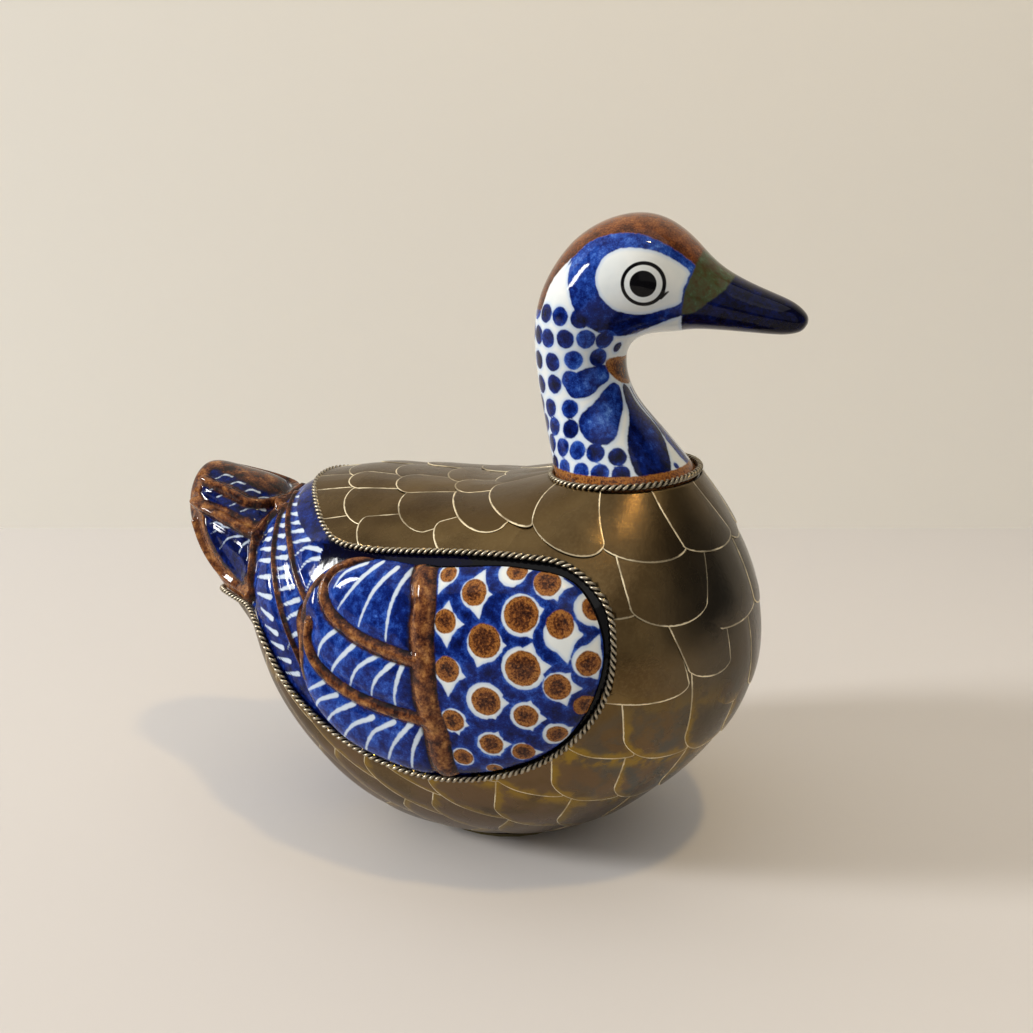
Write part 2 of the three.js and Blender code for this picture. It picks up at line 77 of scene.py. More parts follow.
def stage_sheet(name, corners, colour, one_sided):
    """A flat sheet through four corners. One-sided, it lets light and sight through from its back."""
    mesh = bpy.data.meshes.new(name)
    mesh.from_pydata([tuple(corner) for corner in corners], [], [(0, 1, 2, 3)])
    material = bpy.data.materials.new(name)
    material.use_nodes = True
    nodes, links = material.node_tree.nodes, material.node_tree.links
    shader = nodes["Principled BSDF"]
    shader.inputs["Base Color"].default_value = colour
    shader.inputs["Roughness"].default_value = 0.9
    shader.inputs["Specular IOR Level"].default_value = 0.2
    if one_sided:
        mix = nodes.new("ShaderNodeMixShader")
        links.new(nodes.new("ShaderNodeNewGeometry").outputs["Backfacing"], mix.inputs[0])
        links.new(shader.outputs[0], mix.inputs[1])
        links.new(nodes.new("ShaderNodeBsdfTransparent").outputs[0], mix.inputs[2])
        links.new(mix.outputs[0], nodes["Material Output"].inputs["Surface"])
    mesh.materials.append(material)
    sheet = bpy.data.objects.new(name, mesh)
    bpy.context.scene.collection.objects.link(sheet)


far, near = WALL_DISTANCE * ahead, -TABLE_FRONT * ahead
wide, up = STAGE_REACH * aside, Vector((0, 0, STAGE_REACH))
stage_sheet(
    "table", [near - wide, near + wide, STAGE_REACH * ahead + wide, STAGE_REACH * ahead - wide],
    FLOOR_COLOUR, False,
)
stage_sheet("wall", [far - wide, far + wide, far + wide + up, far - wide + up], WALL_COLOUR, True)


def soft_light(name, place, size, power, colour):
    """A rectangular area lamp at a place, turned towards the middle of the duck."""
    lamp = bpy.data.lights.new(name, "AREA")
    lamp.shape = "RECTANGLE"
    lamp.size, lamp.size_y = size
    lamp.energy, lamp.color = power, colour
    light = bpy.data.objects.new(name, lamp)
    light.location = place
    light.rotation_euler = (Vector(place) - Vector((0, 0, 0.13))).to_track_quat("Z", "Y").to_euler()
    bpy.context.scene.collection.objects.link(light)


soft_light("window", (-3.22, -1.55, 1.50), (0.5, 1.0), 125, (1.0, 0.985, 0.965))
soft_light("ceiling", (-0.10, -0.60, 1.9), (3.0, 3.0), 26, (1.0, 0.985, 0.96))
soft_light("fill", (1.20, -1.50, 0.80), (2.2, 2.2), 6.0, (1.0, 0.95, 0.88))
soft_light("lamp", (0.42, -0.25, 1.3), (0.07, 0.07), 3.6, (1.0, 0.70, 0.30))
world = bpy.data.worlds.new("room")
world.use_nodes = True
world.node_tree.nodes["Background"].inputs[0].default_value = (1.0, 0.985, 0.965, 1)
world.node_tree.nodes["Background"].inputs[1].default_value = 0.10
bpy.context.scene.world = world
bpy.context.scene.view_settings.view_transform = "Standard"

# The clay figure: thrown and modelled in one piece, fired, painted with oxides and glazed.
# This is its plain skin: elliptical sections round the neck, and down the body to the tail.
# Each section is its back point x, z, its front point x, z, and its half width.
BODY_SECTIONS = [
    (39, 164.5, 97.5, 167.5, 34),
    (12, 159, 116, 137, 52),
    (-8, 159, 124.5, 102, 66),
    (-27, 159, 115.5, 66, 73),
    (-45, 159, 85.5, 30, 75),
    (-61, 157, 43, 4.5, 72),
    (-74, 154, -12.5, 0, 64.5),
    (-83, 149, -49, 18.5, 57),
    (-89, 144, -70, 43, 49),
    (-93, 144, -82, 66, 42),
    (-103, 151, -98, 79, 34),
    (-118, 155, -117, 94, 27),
    (-132, 157, -135, 118, 17),
    (-137, 150, -138, 131, 9),
]
NECK_SECTIONS = [
    (39, 164.5, 97.5, 167.5, 34),
    (32, 196, 82, 185, 23),
    (29, 217, 70, 199, 21),
    (32, 240, 66, 213, 23),
    (49, 263, 70, 221, 26),
    (72, 271, 78, 224, 27),
    (89, 263, 87, 225, 22),
    (103, 250, 97, 226, 16),
    (121, 241, 119, 225, 11),
    (130.5, 236.8, 128.5, 224.9, 8.5),
    (135, 233, 133.5, 226.2, 5.5),
    (136, 230.5, 135.8, 229, 1.2),
]


def natural_spline(values):
    """Cubic spline through values at 0, 1, 2 and on, with no bend at its ends.
    The bends solve: one left, four times here and one right make six times the second difference."""
    values = np.asarray(values, float)
    last = len(values) - 1
    system = np.eye(last + 1)
    right = np.zeros(last + 1)
    for i in range(1, last):
        system[i, i - 1 : i + 2] = (1, 4, 1)
        right[i] = 6 * (values[i + 1] - 2 * values[i] + values[i - 1])
    bend = np.linalg.solve(system, right)

    def at(u):
        i = np.clip(np.floor(u).astype(int), 0, last - 1)
        b = u - i
        a = 1 - b
        swing = (a**3 - a) * bend[i] + (b**3 - b) * bend[i + 1]
        return a * values[i] + b * values[i + 1] + swing / 6

    return at


def skin(sections, outward):
    """The skin through the sections, as functions of section number and angle from the back.
    A point is the section's middle, plus its half length times the cosine of the angle along
    the section line, plus its half width times the sine towards +Y. The normal is the cross
    product of its slopes round and along."""
    tracks = [natural_spline(track) for track in np.array(sections, float).T]

    def point(u, angle):
        back_x, back_z, front_x, front_z, half_width = (track(u) for track in tracks)
        share = (1 + np.cos(angle)) / 2
        x = front_x + (back_x - front_x) * share
        z = front_z + (back_z - front_z) * share
        return np.stack(np.broadcast_arrays(x, half_width * np.sin(angle), z), -1)

    def normal(u, angle):
        slight = 1e-3
        along = point(u + slight, angle) - point(u - slight, angle)
        around = point(u, angle + slight) - point(u, angle - slight)
        cross = np.cross(around, along) * outward
        return cross / np.linalg.norm(cross, axis=-1, keepdims=True)

    return tracks, point, normal


body_tracks, body_point, body_normal = skin(BODY_SECTIONS, 1)
_, neck_point, neck_normal = skin(NECK_SECTIONS, -1)


def from_side(x, z):
    """Section number and angle of the body's skin seen at x, z in the side view, and how far
    off the duck that is. The section line through x, z is found where the cross product with
    it changes sign, and the angle is the arc cosine of the place along that line."""
    steps = 130
    last = len(BODY_SECTIONS) - 1

    def miss(u):
        back_x, back_z, front_x, front_z = (track(u) for track in body_tracks[:4])
        dx, dz = front_x - back_x, front_z - back_z
        off = dx * (z[..., None] - back_z) - dz * (x[..., None] - back_x)
        along = ((x[..., None] - back_x) * dx + (z[..., None] - back_z) * dz) / (dx**2 + dz**2)
        return off, 1 - along

    rows = np.linspace(0, last, steps + 1)
    off, share = miss(rows)
    crosses = off[..., :-1] * off[..., 1:] <= 0
    part = off[..., :-1] / np.where(crosses, off[..., :-1] - off[..., 1:], 1)
    shares = share[..., :-1] + (share[..., 1:] - share[..., :-1]) * part
    outside = np.maximum(np.maximum(-shares, shares - 1), 0)
    best = np.argmin(np.where(crosses, outside, 1e3), -1)[..., None]
    u = (best + np.take_along_axis(part, best, -1)) * last / steps
    for _ in range(2):
        nudge = 1e-3
        here, there = miss(u)[0], miss(u + nudge)[0]
        u = np.clip(u - here * nudge / (there - here), 0, last)
    share = miss(u)[1][..., 0]
    angle = np.arccos(np.clip(2 * share - 1, -1, 1))
    return u[..., 0], angle, np.maximum(np.maximum(-share, share - 1), 0)


def smooth_line(points, closed=False, per_span=14):
    """Centripetal Catmull-Rom curve through given points: on each span a cubic whose end
    slopes come from the neighbours, with knots spaced by the square root of the distance."""
    p = np.array(points, float)
    if closed:
        p = np.concatenate([p[-1:], p, p[:2]])
    else:
        p = np.concatenate([[2 * p[0] - p[1]], p, [2 * p[-1] - p[-2]]])
    p0, p1, p2, p3 = p[:-3, None], p[1:-2, None], p[2:-1, None], p[3:, None]
    k0, k1, k2 = (
        np.linalg.norm(b - a, axis=-1, keepdims=True) ** 0.5
        for a, b in ((p0, p1), (p1, p2), (p2, p3))
    )
    slope1 = ((p1 - p0) / k0 - (p2 - p0) / (k0 + k1) + (p2 - p1) / k1) * k1
    slope2 = ((p2 - p1) / k1 - (p3 - p1) / (k1 + k2) + (p3 - p2) / k2) * k1
    t = np.linspace(0, 1, per_span, endpoint=False)[None, :, None]
    curve = (
        p1 * (2 * t**3 - 3 * t**2 + 1) + slope1 * (t**3 - 2 * t**2 + t)
        + p2 * (3 * t**2 - 2 * t**3) + slope2 * (t**3 - t**2)
    ).reshape(-1, p.shape[1])
    return curve if closed else np.concatenate([curve, p[-2:-1]])


def spaced(line, count):
    """The line again as count + 1 points at even lengths."""
    lengths = np.r_[0, np.cumsum(np.linalg.norm(np.diff(line, axis=0), axis=1))]
    even = np.linspace(0, lengths[-1], count + 1)
    return np.stack([np.interp(even, lengths, column) for column in line.T], -1)


def within(outline, x, y):
    """Distance to a closed outline, positive inside: the least distance to its stretches, with
    the sign from how often a ray to one side crosses it."""
    ends = np.roll(outline, -1, axis=0)
    nearest = np.full(x.shape, np.inf)
    inside = np.zeros(x.shape, bool)
    for (ax, ay), (bx, by) in zip(outline, ends):
        dx, dy = bx - ax, by - ay
        t = np.clip(((x - ax) * dx + (y - ay) * dy) / max(dx * dx + dy * dy, 1e-12), 0, 1)
        nearest = np.minimum(nearest, (x - ax - t * dx) ** 2 + (y - ay - t * dy) ** 2)
        if ay != by:
            inside ^= ((ay > y) != (by > y)) & (x < ax + (y - ay) * dx / dy)
    return np.where(inside, 1, -1) * np.sqrt(nearest)


def beside(line, points, widths=(0.0, 0.0)):
    """Half width of a brush stroke along an open line, less the distance to it. The half width
    runs from the first value at its start to the second at its end."""
    lengths = np.r_[0, np.cumsum(np.linalg.norm(np.diff(line, axis=0), axis=1))]
    best = np.full(points.shape[:-1], -np.inf)
    for a, b, start, end in zip(line[:-1], line[1:], lengths[:-1], lengths[1:]):
        d = b - a
        t = np.clip(((points - a) @ d) / (d @ d), 0, 1)
        away = np.linalg.norm(points - a - t[..., None] * d, axis=-1)
        share = (start + (end - start) * t) / lengths[-1]
        best = np.maximum(best, widths[0] + (widths[1] - widths[0]) * share - away)
    return best


def on_side(points):
    """Points x, z of the side view, put on the body's skin on the duck's right."""
    points = np.array(points, float)
    u, angle, _ = from_side(points[:, 0], points[:, 1])
    return body_point(u, -angle)


class Finish:
    """A material made of nodes, with short ways to add them. Sizes are in millimetres. A value
    is a plain number, a colour, or what another node gives."""

    def __init__(self, name):
        self.material = bpy.data.materials.new(name)
        self.material.use_nodes = True
        self.tree = self.material.node_tree
        self.surface = self.tree.nodes["Principled BSDF"].inputs
        self.coordinates = self.node("TexCoord", out=3)

    def join(self, value, socket):
        if hasattr(value, "is_output"):
            self.tree.links.new(value, socket)
        else:
            socket.default_value = (*value, 1) if isinstance(value, tuple) else value

    def node(self, kind, *values, out=0, **settings):
        """What a new node gives, with these settings, and these values for its first sockets."""
        made = self.tree.nodes.new("ShaderNode" + kind)
        for key, setting in settings.items():
            setattr(made, key, setting)
        for socket, value in zip(made.inputs, values):
            self.join(value, socket)
        return made.outputs[out]

    def combined(self, operation, first, *others):
        for other in others:
            first = self.node("Math", first, other, operation=operation)
        return first

    def plus(self, *values):
        return self.combined("ADD", *values)

    def times(self, *values):
        return self.combined("MULTIPLY", *values)

    def blend(self, share, a, b):
        """Colour a where the share is 0, and colour b where it is 1."""
        made = self.tree.nodes.new("ShaderNodeMix")
        made.data_type = "RGBA"
        for value, index in ((share, 0), (a, 6), (b, 7)):
            self.join(value, made.inputs[index])
        return made.outputs[2]

    def ramp(self, value, tones):
        """The colour for a value, between tones that each have their place from 0 to 1."""
        made = self.tree.nodes.new("ShaderNodeValToRGB")
        self.join(value, made.inputs[0])
        places = made.color_ramp.elements
        while len(places) < len(tones):
            places.new(0.5)
        for place, (at, colour) in zip(places, tones):
            place.position, place.color = at, (*colour, 1)
        return made.outputs[0]

    def noise(self, size, detail=3.0, rough=0.5):
        """Noise from 0 to 1 with blotches of about the given size."""
        made = self.tree.nodes.new("ShaderNodeTexNoise")
        self.tree.links.new(self.coordinates, made.inputs["Vector"])
        made.inputs["Scale"].default_value = 1000 / size
        made.inputs["Detail"].default_value = detail
        made.inputs["Roughness"].default_value = rough
        return made.outputs[0]

    def uneven(self, size, detail=3.0, rough=0.5):
        """The same noise, about zero."""
        return self.node("Math", self.noise(size, detail, rough), 0.5, operation="SUBTRACT")

    def field(self, name):
        """The number that the mesh stores at each point under this name."""
        return self.node("Attribute", out=2, attribute_name=name)

    def place(self, axis):
        """How far along an axis, 0 for x and 2 for z, in metres."""
        return self.node("SeparateXYZ", self.coordinates, out=axis)

    def edge(self, value, low, high):
        """A smooth step from 0 at the low value to 1 at the high one."""
        return self.node("MapRange", value, low, high, interpolation_type="SMOOTHSTEP")

    def bump(self, height, distance, strength):
        made = self.tree.nodes.new("ShaderNodeBump")
        made.inputs["Strength"].default_value = strength
        made.inputs["Distance"].default_value = distance / 1000
        self.join(height, made.inputs["Height"])
        return made.outputs[0]


# Paint colours. Tones run over a paint's own 0 to 1, from thin or worn to thick.
SLIP_GREY, SLIP_WHITE = (0.62, 0.68, 0.70), (0.76, 0.78, 0.77)
BLED_COBALT = (0.36, 0.50, 0.74)
COBALT_TONES = [
    (0.0, (0.10, 0.23, 0.62)), (0.25, (0.020, 0.070, 0.37)), (0.5, (0.004, 0.016, 0.150)),
    (0.75, (0.002, 0.005, 0.050)), (1.0, (0.001, 0.001, 0.010)),
]
BROWN_TONES = [
    (0.0, (0.15, 0.050, 0.014)), (0.12, (0.36, 0.155, 0.036)), (0.34, (0.25, 0.090, 0.024)),
    (0.58, (0.105, 0.036, 0.013)), (0.90, (0.024, 0.010, 0.007)),
]
CROWN_TONES = [
    (0.20, (0.45, 0.21, 0.055)), (0.42, (0.26, 0.095, 0.027)), (0.58, (0.155, 0.050, 0.017)),
    (0.80, (0.050, 0.018, 0.010)),
]
RIB_TONES = [
    (0.0, (0.006, 0.004, 0.006)), (0.30, (0.034, 0.013, 0.010)), (0.55, (0.130, 0.045, 0.018)),
    (0.78, (0.28, 0.120, 0.038)), (1.0, (0.42, 0.22, 0.08)),
]
GREEN_TONES = [
    (0.0, (0.030, 0.018, 0.010)), (0.35, (0.060, 0.045, 0.018)), (0.6, (0.055, 0.075, 0.035)),
    (1.0, (0.11, 0.19, 0.12)),
]
# Black: the eye's ink, and also painted shadow in the grooves before the wings.
INK_AND_SHADE = (0.003, 0.003, 0.004)
GLAZE_ROUGHNESS = 0.07
GLAZE_SPECULAR = 0.16
PAINTS = ("cobalt", "depth", "brown", "crown", "rib", "green", "ink_and_shade")
FAR_OUTSIDE = -9.0


def glazed_paint():
    """Pale slip under clear glaze, with oxide paints laid where their fields are above zero. A
    field is how many millimetres a point lies inside its paint's edge, except the cobalt's
    depth, which runs from 0 for a thin wash to 1 for nearly black. Cobalt bleeds a little into
    the slip beside it, and ribs and spots are darker and more worn in patches."""
    glaze = Finish("glaze")
    plus, times, blend, edge, field = glaze.plus, glaze.times, glaze.blend, glaze.edge, glaze.field
    grain, patch = glaze.uneven(0.5, 2), glaze.uneven(4.5, 4, 0.6)
    mottle, granule = glaze.uneven(1.5, 4, 0.7), glaze.uneven(0.95, 2, 0.6)
    wobble = times(glaze.uneven(2.4), 0.9)

    def laid(paint, soft=0.3):
        return edge(plus(field(paint), wobble), -soft, soft)

    bled = times(edge(field("cobalt"), -1.7, 0.1), 0.6)
    ground = blend(bled, blend(glaze.noise(7), SLIP_GREY, SLIP_WHITE), BLED_COBALT)
    wash = plus(times(patch, 1.1), times(mottle, 0.7))
    cobalt = glaze.ramp(plus(field("depth"), wash, times(grain, 0.35)), COBALT_TONES)
    speckle = plus(times(mottle, 1.6), times(granule, 2.6))
    core = plus(times(edge(field("brown"), -0.3, 3.2), 0.68), times(speckle, 0.62), times(patch, 0.7))
    crown_rim = edge(field("crown"), 4.5, 0.0)
    streak = plus(glaze.noise(0.8, 4, 0.7), times(patch, 0.7), times(crown_rim, 0.16), 0.07)
    brown = glaze.ramp(core, BROWN_TONES)
    brown = blend(edge(field("crown"), -0.2, 0.3), brown, glaze.ramp(streak, CROWN_TONES))
    worn = plus(times(edge(field("rib"), -0.3, 2.6), 0.42), times(patch, 1.7), 0.16, times(speckle, 0.26))
    green = glaze.ramp(plus(times(wash, 1.1), 0.5), GREEN_TONES)
    colour = blend(laid("cobalt"), ground, cobalt)
    colour = blend(laid("brown"), colour, brown)
    colour = blend(laid("green", 0.5), colour, green)
    colour = blend(laid("rib", 0.45), colour, glaze.ramp(worn, RIB_TONES))
    # Black ink for the eye, and painted shadow in the grooves at the wings' fronts.
    colour = blend(edge(field("ink_and_shade"), -0.18, 0.18), colour, INK_AND_SHADE)
    glaze.join(colour, glaze.surface["Base Color"])
    glaze.join(GLAZE_ROUGHNESS, glaze.surface["Roughness"])
    glaze.join(GLAZE_SPECULAR, glaze.surface["Specular IOR Level"])
    glaze.join(glaze.bump(glaze.noise(9, 2), 0.5, 0.35), glaze.surface["Normal"])
    return glaze.material


glazed = glazed_paint()


def piece_from(name, points, faces, material, fields):
    """A smooth mesh from points in millimetres and faces as rows of point numbers, with its
    named values stored point by point."""
    mesh = bpy.data.meshes.new(name)
    corners = np.concatenate([rows.ravel() for rows in faces])
    sizes = np.concatenate([np.full(len(rows), rows.shape[1]) for rows in faces])
    mesh.vertices.add(len(points))
    mesh.vertices.foreach_set("co", (points / 1000).astype(np.float32).ravel())
    mesh.loops.add(len(corners))
    mesh.loops.foreach_set("vertex_index", corners.astype(np.int32))
    mesh.polygons.add(len(sizes))
    mesh.polygons.foreach_set("loop_start", np.r_[0, np.cumsum(sizes)[:-1]].astype(np.int32))
    mesh.update(calc_edges=True)
    mesh.validate()
    mesh.shade_smooth()
    for field, values in fields.items():
        attribute = mesh.attributes.new(field, "FLOAT", "POINT")
        attribute.data.foreach_set("value", np.asarray(values, np.float32).ravel())
    mesh.materials.append(material)
    piece = bpy.data.objects.new(name, mesh)
    bpy.context.scene.collection.objects.link(piece)
    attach(piece, "root")
    return piece


def closed_faces(rows, columns, flip=False):
    """Faces of rows of points that close on themselves, with a fan at each end to one more
    point: the first end's is numbered after the last row, and the other end's after that."""
    j = np.arange(columns)
    k = (j + 1) % columns
    base = np.arange(rows - 1)[:, None] * columns
    quads = np.stack([base + j, base + k, base + columns + k, base + columns + j], -1).reshape(-1, 4)
    end = (rows - 1) * columns
    first = np.stack([np.full(columns, rows * columns), k, j], -1)
    last = np.stack([np.full(columns, rows * columns + 1), end + j, end + k], -1)
    fans = np.concatenate([first, last])
    return [quads[:, ::-1], fans[:, ::-1]] if flip else [quads, fans]


def capped(grid):
    """The grid's points in one list, with the middle of its first and of its last row added."""
    return np.concatenate([grid.reshape(-1, 3), grid[:1].mean(1), grid[-1:].mean(1)])


def painted(grid, fields):
    """Paint fields as columns for the capped grid; the end points take the values beside them."""
    out = {}
    for name in PAINTS:
        values = np.broadcast_to(fields.get(name, FAR_OUTSIDE), grid.shape[:2]).astype(float)
        out[name] = np.r_[values.ravel(), values[0, 0], values[-1, 0]]
    return out


def painted_piece(name, grid, fields, flip=False):
    """A glazed piece of the clay figure from a closed grid of points and its paint fields."""
    points, faces = capped(grid), closed_faces(*grid.shape[:2], flip=flip)
    piece = piece_from(name, points, faces, glazed, painted(grid, fields))
    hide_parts("ceramic_duck")


# Head and neck: brown crown, white eye patch in a cobalt comma, green saddle, dark bill.
# Cobalt dots and petals lie under the glaze on the neck, above a brown line at the wire.
NECK_ROWS = 330
NECK_ROW_SPREAD = 0.97
NECK_AROUND = 280
# Above this height the crown is lowered by this share of the rest.
CROWN_EASED_ABOVE = 259
CROWN_EASED_BY = 0.105
HEAD_FROM_SECTION = 3.2
# Edges and middles of paint, as x and z of the side view.
EYE = (77.4, 244.2)
EYE_RING_RADIUS = 7.5
EYE_RING_WIDTH = 1.35
PUPIL_RADIUS = 4.85
EYE_TICK = [(83.6, 239.2), (85.3, 240.6), (86.3, 241.4)]
EYE_TICK_WIDTHS = (0.7, 0.3)
CROWN_EDGE = [
    (35.2, 232.8), (40.1, 244.6), (49.4, 254.0), (56.7, 259.7), (66.2, 262.1), (74.5, 261.9),
    (83.5, 258.5), (91.8, 253.1), (95.4, 250.0),
]
OVER_THE_CROWN = [(104, 262), (90, 290), (40, 290), (15, 232)]
EYE_PATCH = [
    (59.3, 246.5), (62.5, 253.8), (68.7, 256.8), (78.2, 256.5), (85.4, 254.0), (93.2, 247.8),
    (91.5, 242.8), (90.5, 237.3), (84.7, 234.8), (75.3, 232.7), (66.7, 234.3), (61.4, 239.4),
]
COMMA_FOOT = [
    (90.4, 232.3), (79.0, 227.7), (71.5, 224.3), (64.3, 223.9), (55.5, 227.9), (51.4, 233.0),
    (48.6, 240.2), (47.5, 247.1), (49.4, 254.0),
]
SADDLE_REAR = [(97.5, 262.0), (95.4, 253.0), (93.9, 247.8), (91.9, 241.3), (90.6, 232.6)]
SADDLE_FRONT = [(95.5, 233.6), (102.1, 238.7), (105.9, 242.0), (108.2, 246.0), (110.5, 258.0)]
ROUND_THE_BILL = [(150, 262), (150, 210), (92, 210), (89.3, 226)]
BILL_DEPTH = 0.86
COMMA_DEPTH = 0.34
# Dots on one side, row by row: section number and degrees from the back.
NECK_DOTS = [
    (2.71, 11), (2.78, 32), (2.88, 53), (3.05, 74), (3.32, 96),
    (2.33, 0), (2.36, 21), (2.41, 42), (2.50, 61), (2.75, 86), (3.06, 110), (3.37, 131),
    (1.83, 13), (1.90, 38), (2.08, 66), (2.42, 96), (2.82, 128),
    (1.30, 11), (1.37, 35), (1.57, 62), (1.90, 87),
    (0.96, 0), (0.98, 23), (1.01, 46), (1.16, 74),
    (0.71, 10), (0.72, 28), (0.74, 47), (0.80, 69),
    (0.47, 0), (0.47, 18), (0.48, 36), (0.49, 54), (0.51, 71), (0.53, 88), (0.51, 106),
    (0.22, 7), (0.22, 21), (0.22, 35), (0.22, 51), (0.23, 70), (0.25, 87), (0.25, 104),
]
NECK_DOT_RADIUS = 3.75
NECK_DOT_DEPTH = 0.74
SMALL_DOTS = [(3.41, 152, 2.2), (0.31, 157, 1.5)]
# Petals from the throat, as section number and degrees from the back, with their cobalt's depth.
PETALS = [
    (0.50, [
        (2.70, 138), (2.48, 117), (2.18, 98), (1.72, 77.5), (1.46, 80), (1.63, 101), (2.09, 124),
        (2.43, 141),
    ]),
    (0.52, [
        (2.29, 143), (1.50, 104), (0.94, 79.5), (0.72, 82), (0.67, 97), (0.80, 109), (1.26, 126), (1.93, 149),
        (2.25, 152),
    ]),
    (0.80, [
        (2.31, 163), (1.56, 145), (0.80, 121), (0.43, 115.5), (0.20, 118), (0.20, 135), (0.25, 147),
        (0.58, 159), (1.10, 174), (1.74, 172), (2.18, 172),
    ]),
]
FRONT_PETAL = [(2.2, 178), (1.35, 179), (0.8, 171), (0.40, 172.5), (0.20, 177), (0.20, 190), (2.2, 190)]
# The brown throat spot: its section number, its half height in sections, its half width in degrees.
THROAT = (2.72, 0.42, 43.0)
THROAT_SIZE = 6.0
NECK_LINE_HEIGHT = 6.6
NECK_LINE_DEPTH = 1.8


def neck_chart(u, degrees):
    """Flat map of the neck in millimetres: the way round at a middling radius, and the height."""
    return degrees * 0.40, u * 19.0


def head_and_neck():
    """The neck's skin from the bill's tip down to its foot, with each paint's distances: in the
    side view on the head, on the flat map for petals, and straight through space for dots."""
    rows = np.linspace(0, 1, NECK_ROWS)[::-1] ** NECK_ROW_SPREAD * (len(NECK_SECTIONS) - 1)
    angle = np.linspace(0, 2 * math.pi, NECK_AROUND, endpoint=False)
    u = rows[:, None]
    grid = neck_point(u, angle[None])
    grid[..., 2] -= CROWN_EASED_BY * np.maximum(grid[..., 2] - CROWN_EASED_ABOVE, 0)
    x, y, z = np.moveaxis(grid, -1, 0)

    crown = within(np.concatenate([smooth_line(CROWN_EDGE), OVER_THE_CROWN]), x, z)
    patch = within(smooth_line(EYE_PATCH, closed=True), x, z)
    comma_edge = [smooth_line(CROWN_EDGE[2:]), SADDLE_REAR[2:], smooth_line(COMMA_FOOT)]
    comma = within(np.concatenate(comma_edge), x, z)
    bill = within(np.array(SADDLE_REAR[-1:] + SADDLE_FRONT + ROUND_THE_BILL), x, z)
    saddle = within(np.array(SADDLE_REAR + SADDLE_FRONT), x, z)
    cobalt = np.maximum(np.minimum(comma, -patch), bill)
    cobalt = np.maximum(cobalt, np.maximum(saddle + 0.6, np.minimum(comma, crown) + 1.2))
    depth = np.where(bill > -0.5, BILL_DEPTH + 0.14 * np.clip((x - 108) / 24, 0, 1), 0.5)
    depth = np.where(comma > -1, COMMA_DEPTH + 0.30 * np.clip((247 - z) / 18, 0, 1), depth)

    mirrored = np.stack([x, np.abs(y), z], -1)
    for section, turn, radius in [(*dot, NECK_DOT_RADIUS) for dot in NECK_DOTS] + SMALL_DOTS:
        middle = neck_point(np.array(section), np.array(math.radians(turn)))
        away = np.linalg.norm(mirrored - middle, axis=-1)
        cobalt = np.maximum(cobalt, radius - away)
        tone = NECK_DOT_DEPTH - 0.09 * away + 0.15 * math.sin(17 * section + turn)
        depth = np.where(away < radius + 1, tone, depth)

    degrees = np.degrees(np.arccos(np.cos(angle)))[None] + 0 * u
    across, height = neck_chart(u + 0 * degrees, degrees)
    for tone, outline in PETALS:
        flat = smooth_line([neck_chart(*place)[::-1] for place in outline], closed=True)[:, ::-1]
        inside = within(flat, across, height)
        cobalt = np.maximum(cobalt, inside)
        depth = np.where(inside > -0.5, tone - 0.05 * np.clip(inside, 0, 5), depth)
    front_petal = np.array([neck_chart(*place) for place in FRONT_PETAL])
    cobalt = np.maximum(cobalt, within(front_petal, across, height))

    section, tall, wide_angle = THROAT
    throat = THROAT_SIZE * (1 - np.hypot((u - section) / tall, (180 - degrees) / wide_angle))
    from_foot = np.linalg.norm(grid - neck_point(0 * u, angle[None]), axis=-1)
    neck_line = np.minimum(NECK_LINE_HEIGHT - from_foot, NECK_LINE_DEPTH)
    from_eye = np.hypot(x - EYE[0], z - EYE[1])
    ink_and_shade = np.maximum(PUPIL_RADIUS - from_eye, EYE_RING_WIDTH / 2 - np.abs(from_eye - EYE_RING_RADIUS))
    ink_and_shade = np.maximum(ink_and_shade, beside(np.array(EYE_TICK), np.stack([x, z], -1), EYE_TICK_WIDTHS))
    ink_and_shade = np.where(u > HEAD_FROM_SECTION, ink_and_shade, FAR_OUTSIDE)
    brown = np.maximum(np.maximum(crown, throat), neck_line)
    fields = {"cobalt": cobalt, "depth": depth, "green": saddle, "ink_and_shade": ink_and_shade, "crown": crown, "brown": brown}
    painted_piece("head_and_neck", grid, fields)


head_and_neck()

# Body, rump and tail: the same clay, bare only inside the brass window. Raised ribs part the
# rump into strips of painted bars and the tail into dark panels with white strokes.
WINDOW_LINE = [
    (-75, 161), (-71.5, 156), (-67.5, 153.2), (-62, 150.4), (-56, 147), (-49.5, 143.2), (-41, 140),
    (-28, 139.5), (-8, 141), (16, 143.4), (42, 144.2), (58, 142.8), (69, 136.5), (75.5, 128.5), (78, 118),
    (77.6, 104), (73.5, 91), (64, 77), (50, 65), (29.5, 56), (4.5, 51.6), (-18, 54.6), (-40, 63.3),
    (-60, 76.5), (-72, 90), (-80, 99), (-90, 103), (-102, 103), (-111, 103.5), (-118, 102), (-123, 97),
    (-125, 88),
]
BODY_FRONT_ROWS = 30
BODY_FRONT_SECTIONS = 5
BODY_ROWS = 250
BODY_AROUND = 390
BODY_LOWEST = 1.5
BODY_REARMOST = -137.9
RUMP_EDGE = [(-84, 149), (-90, 139), (-92, 132), (-89.5, 122), (-89, 108)]
BEHIND_THE_RUMP = [(-95, 90), (-200, 90), (-200, 200), (-84, 200)]
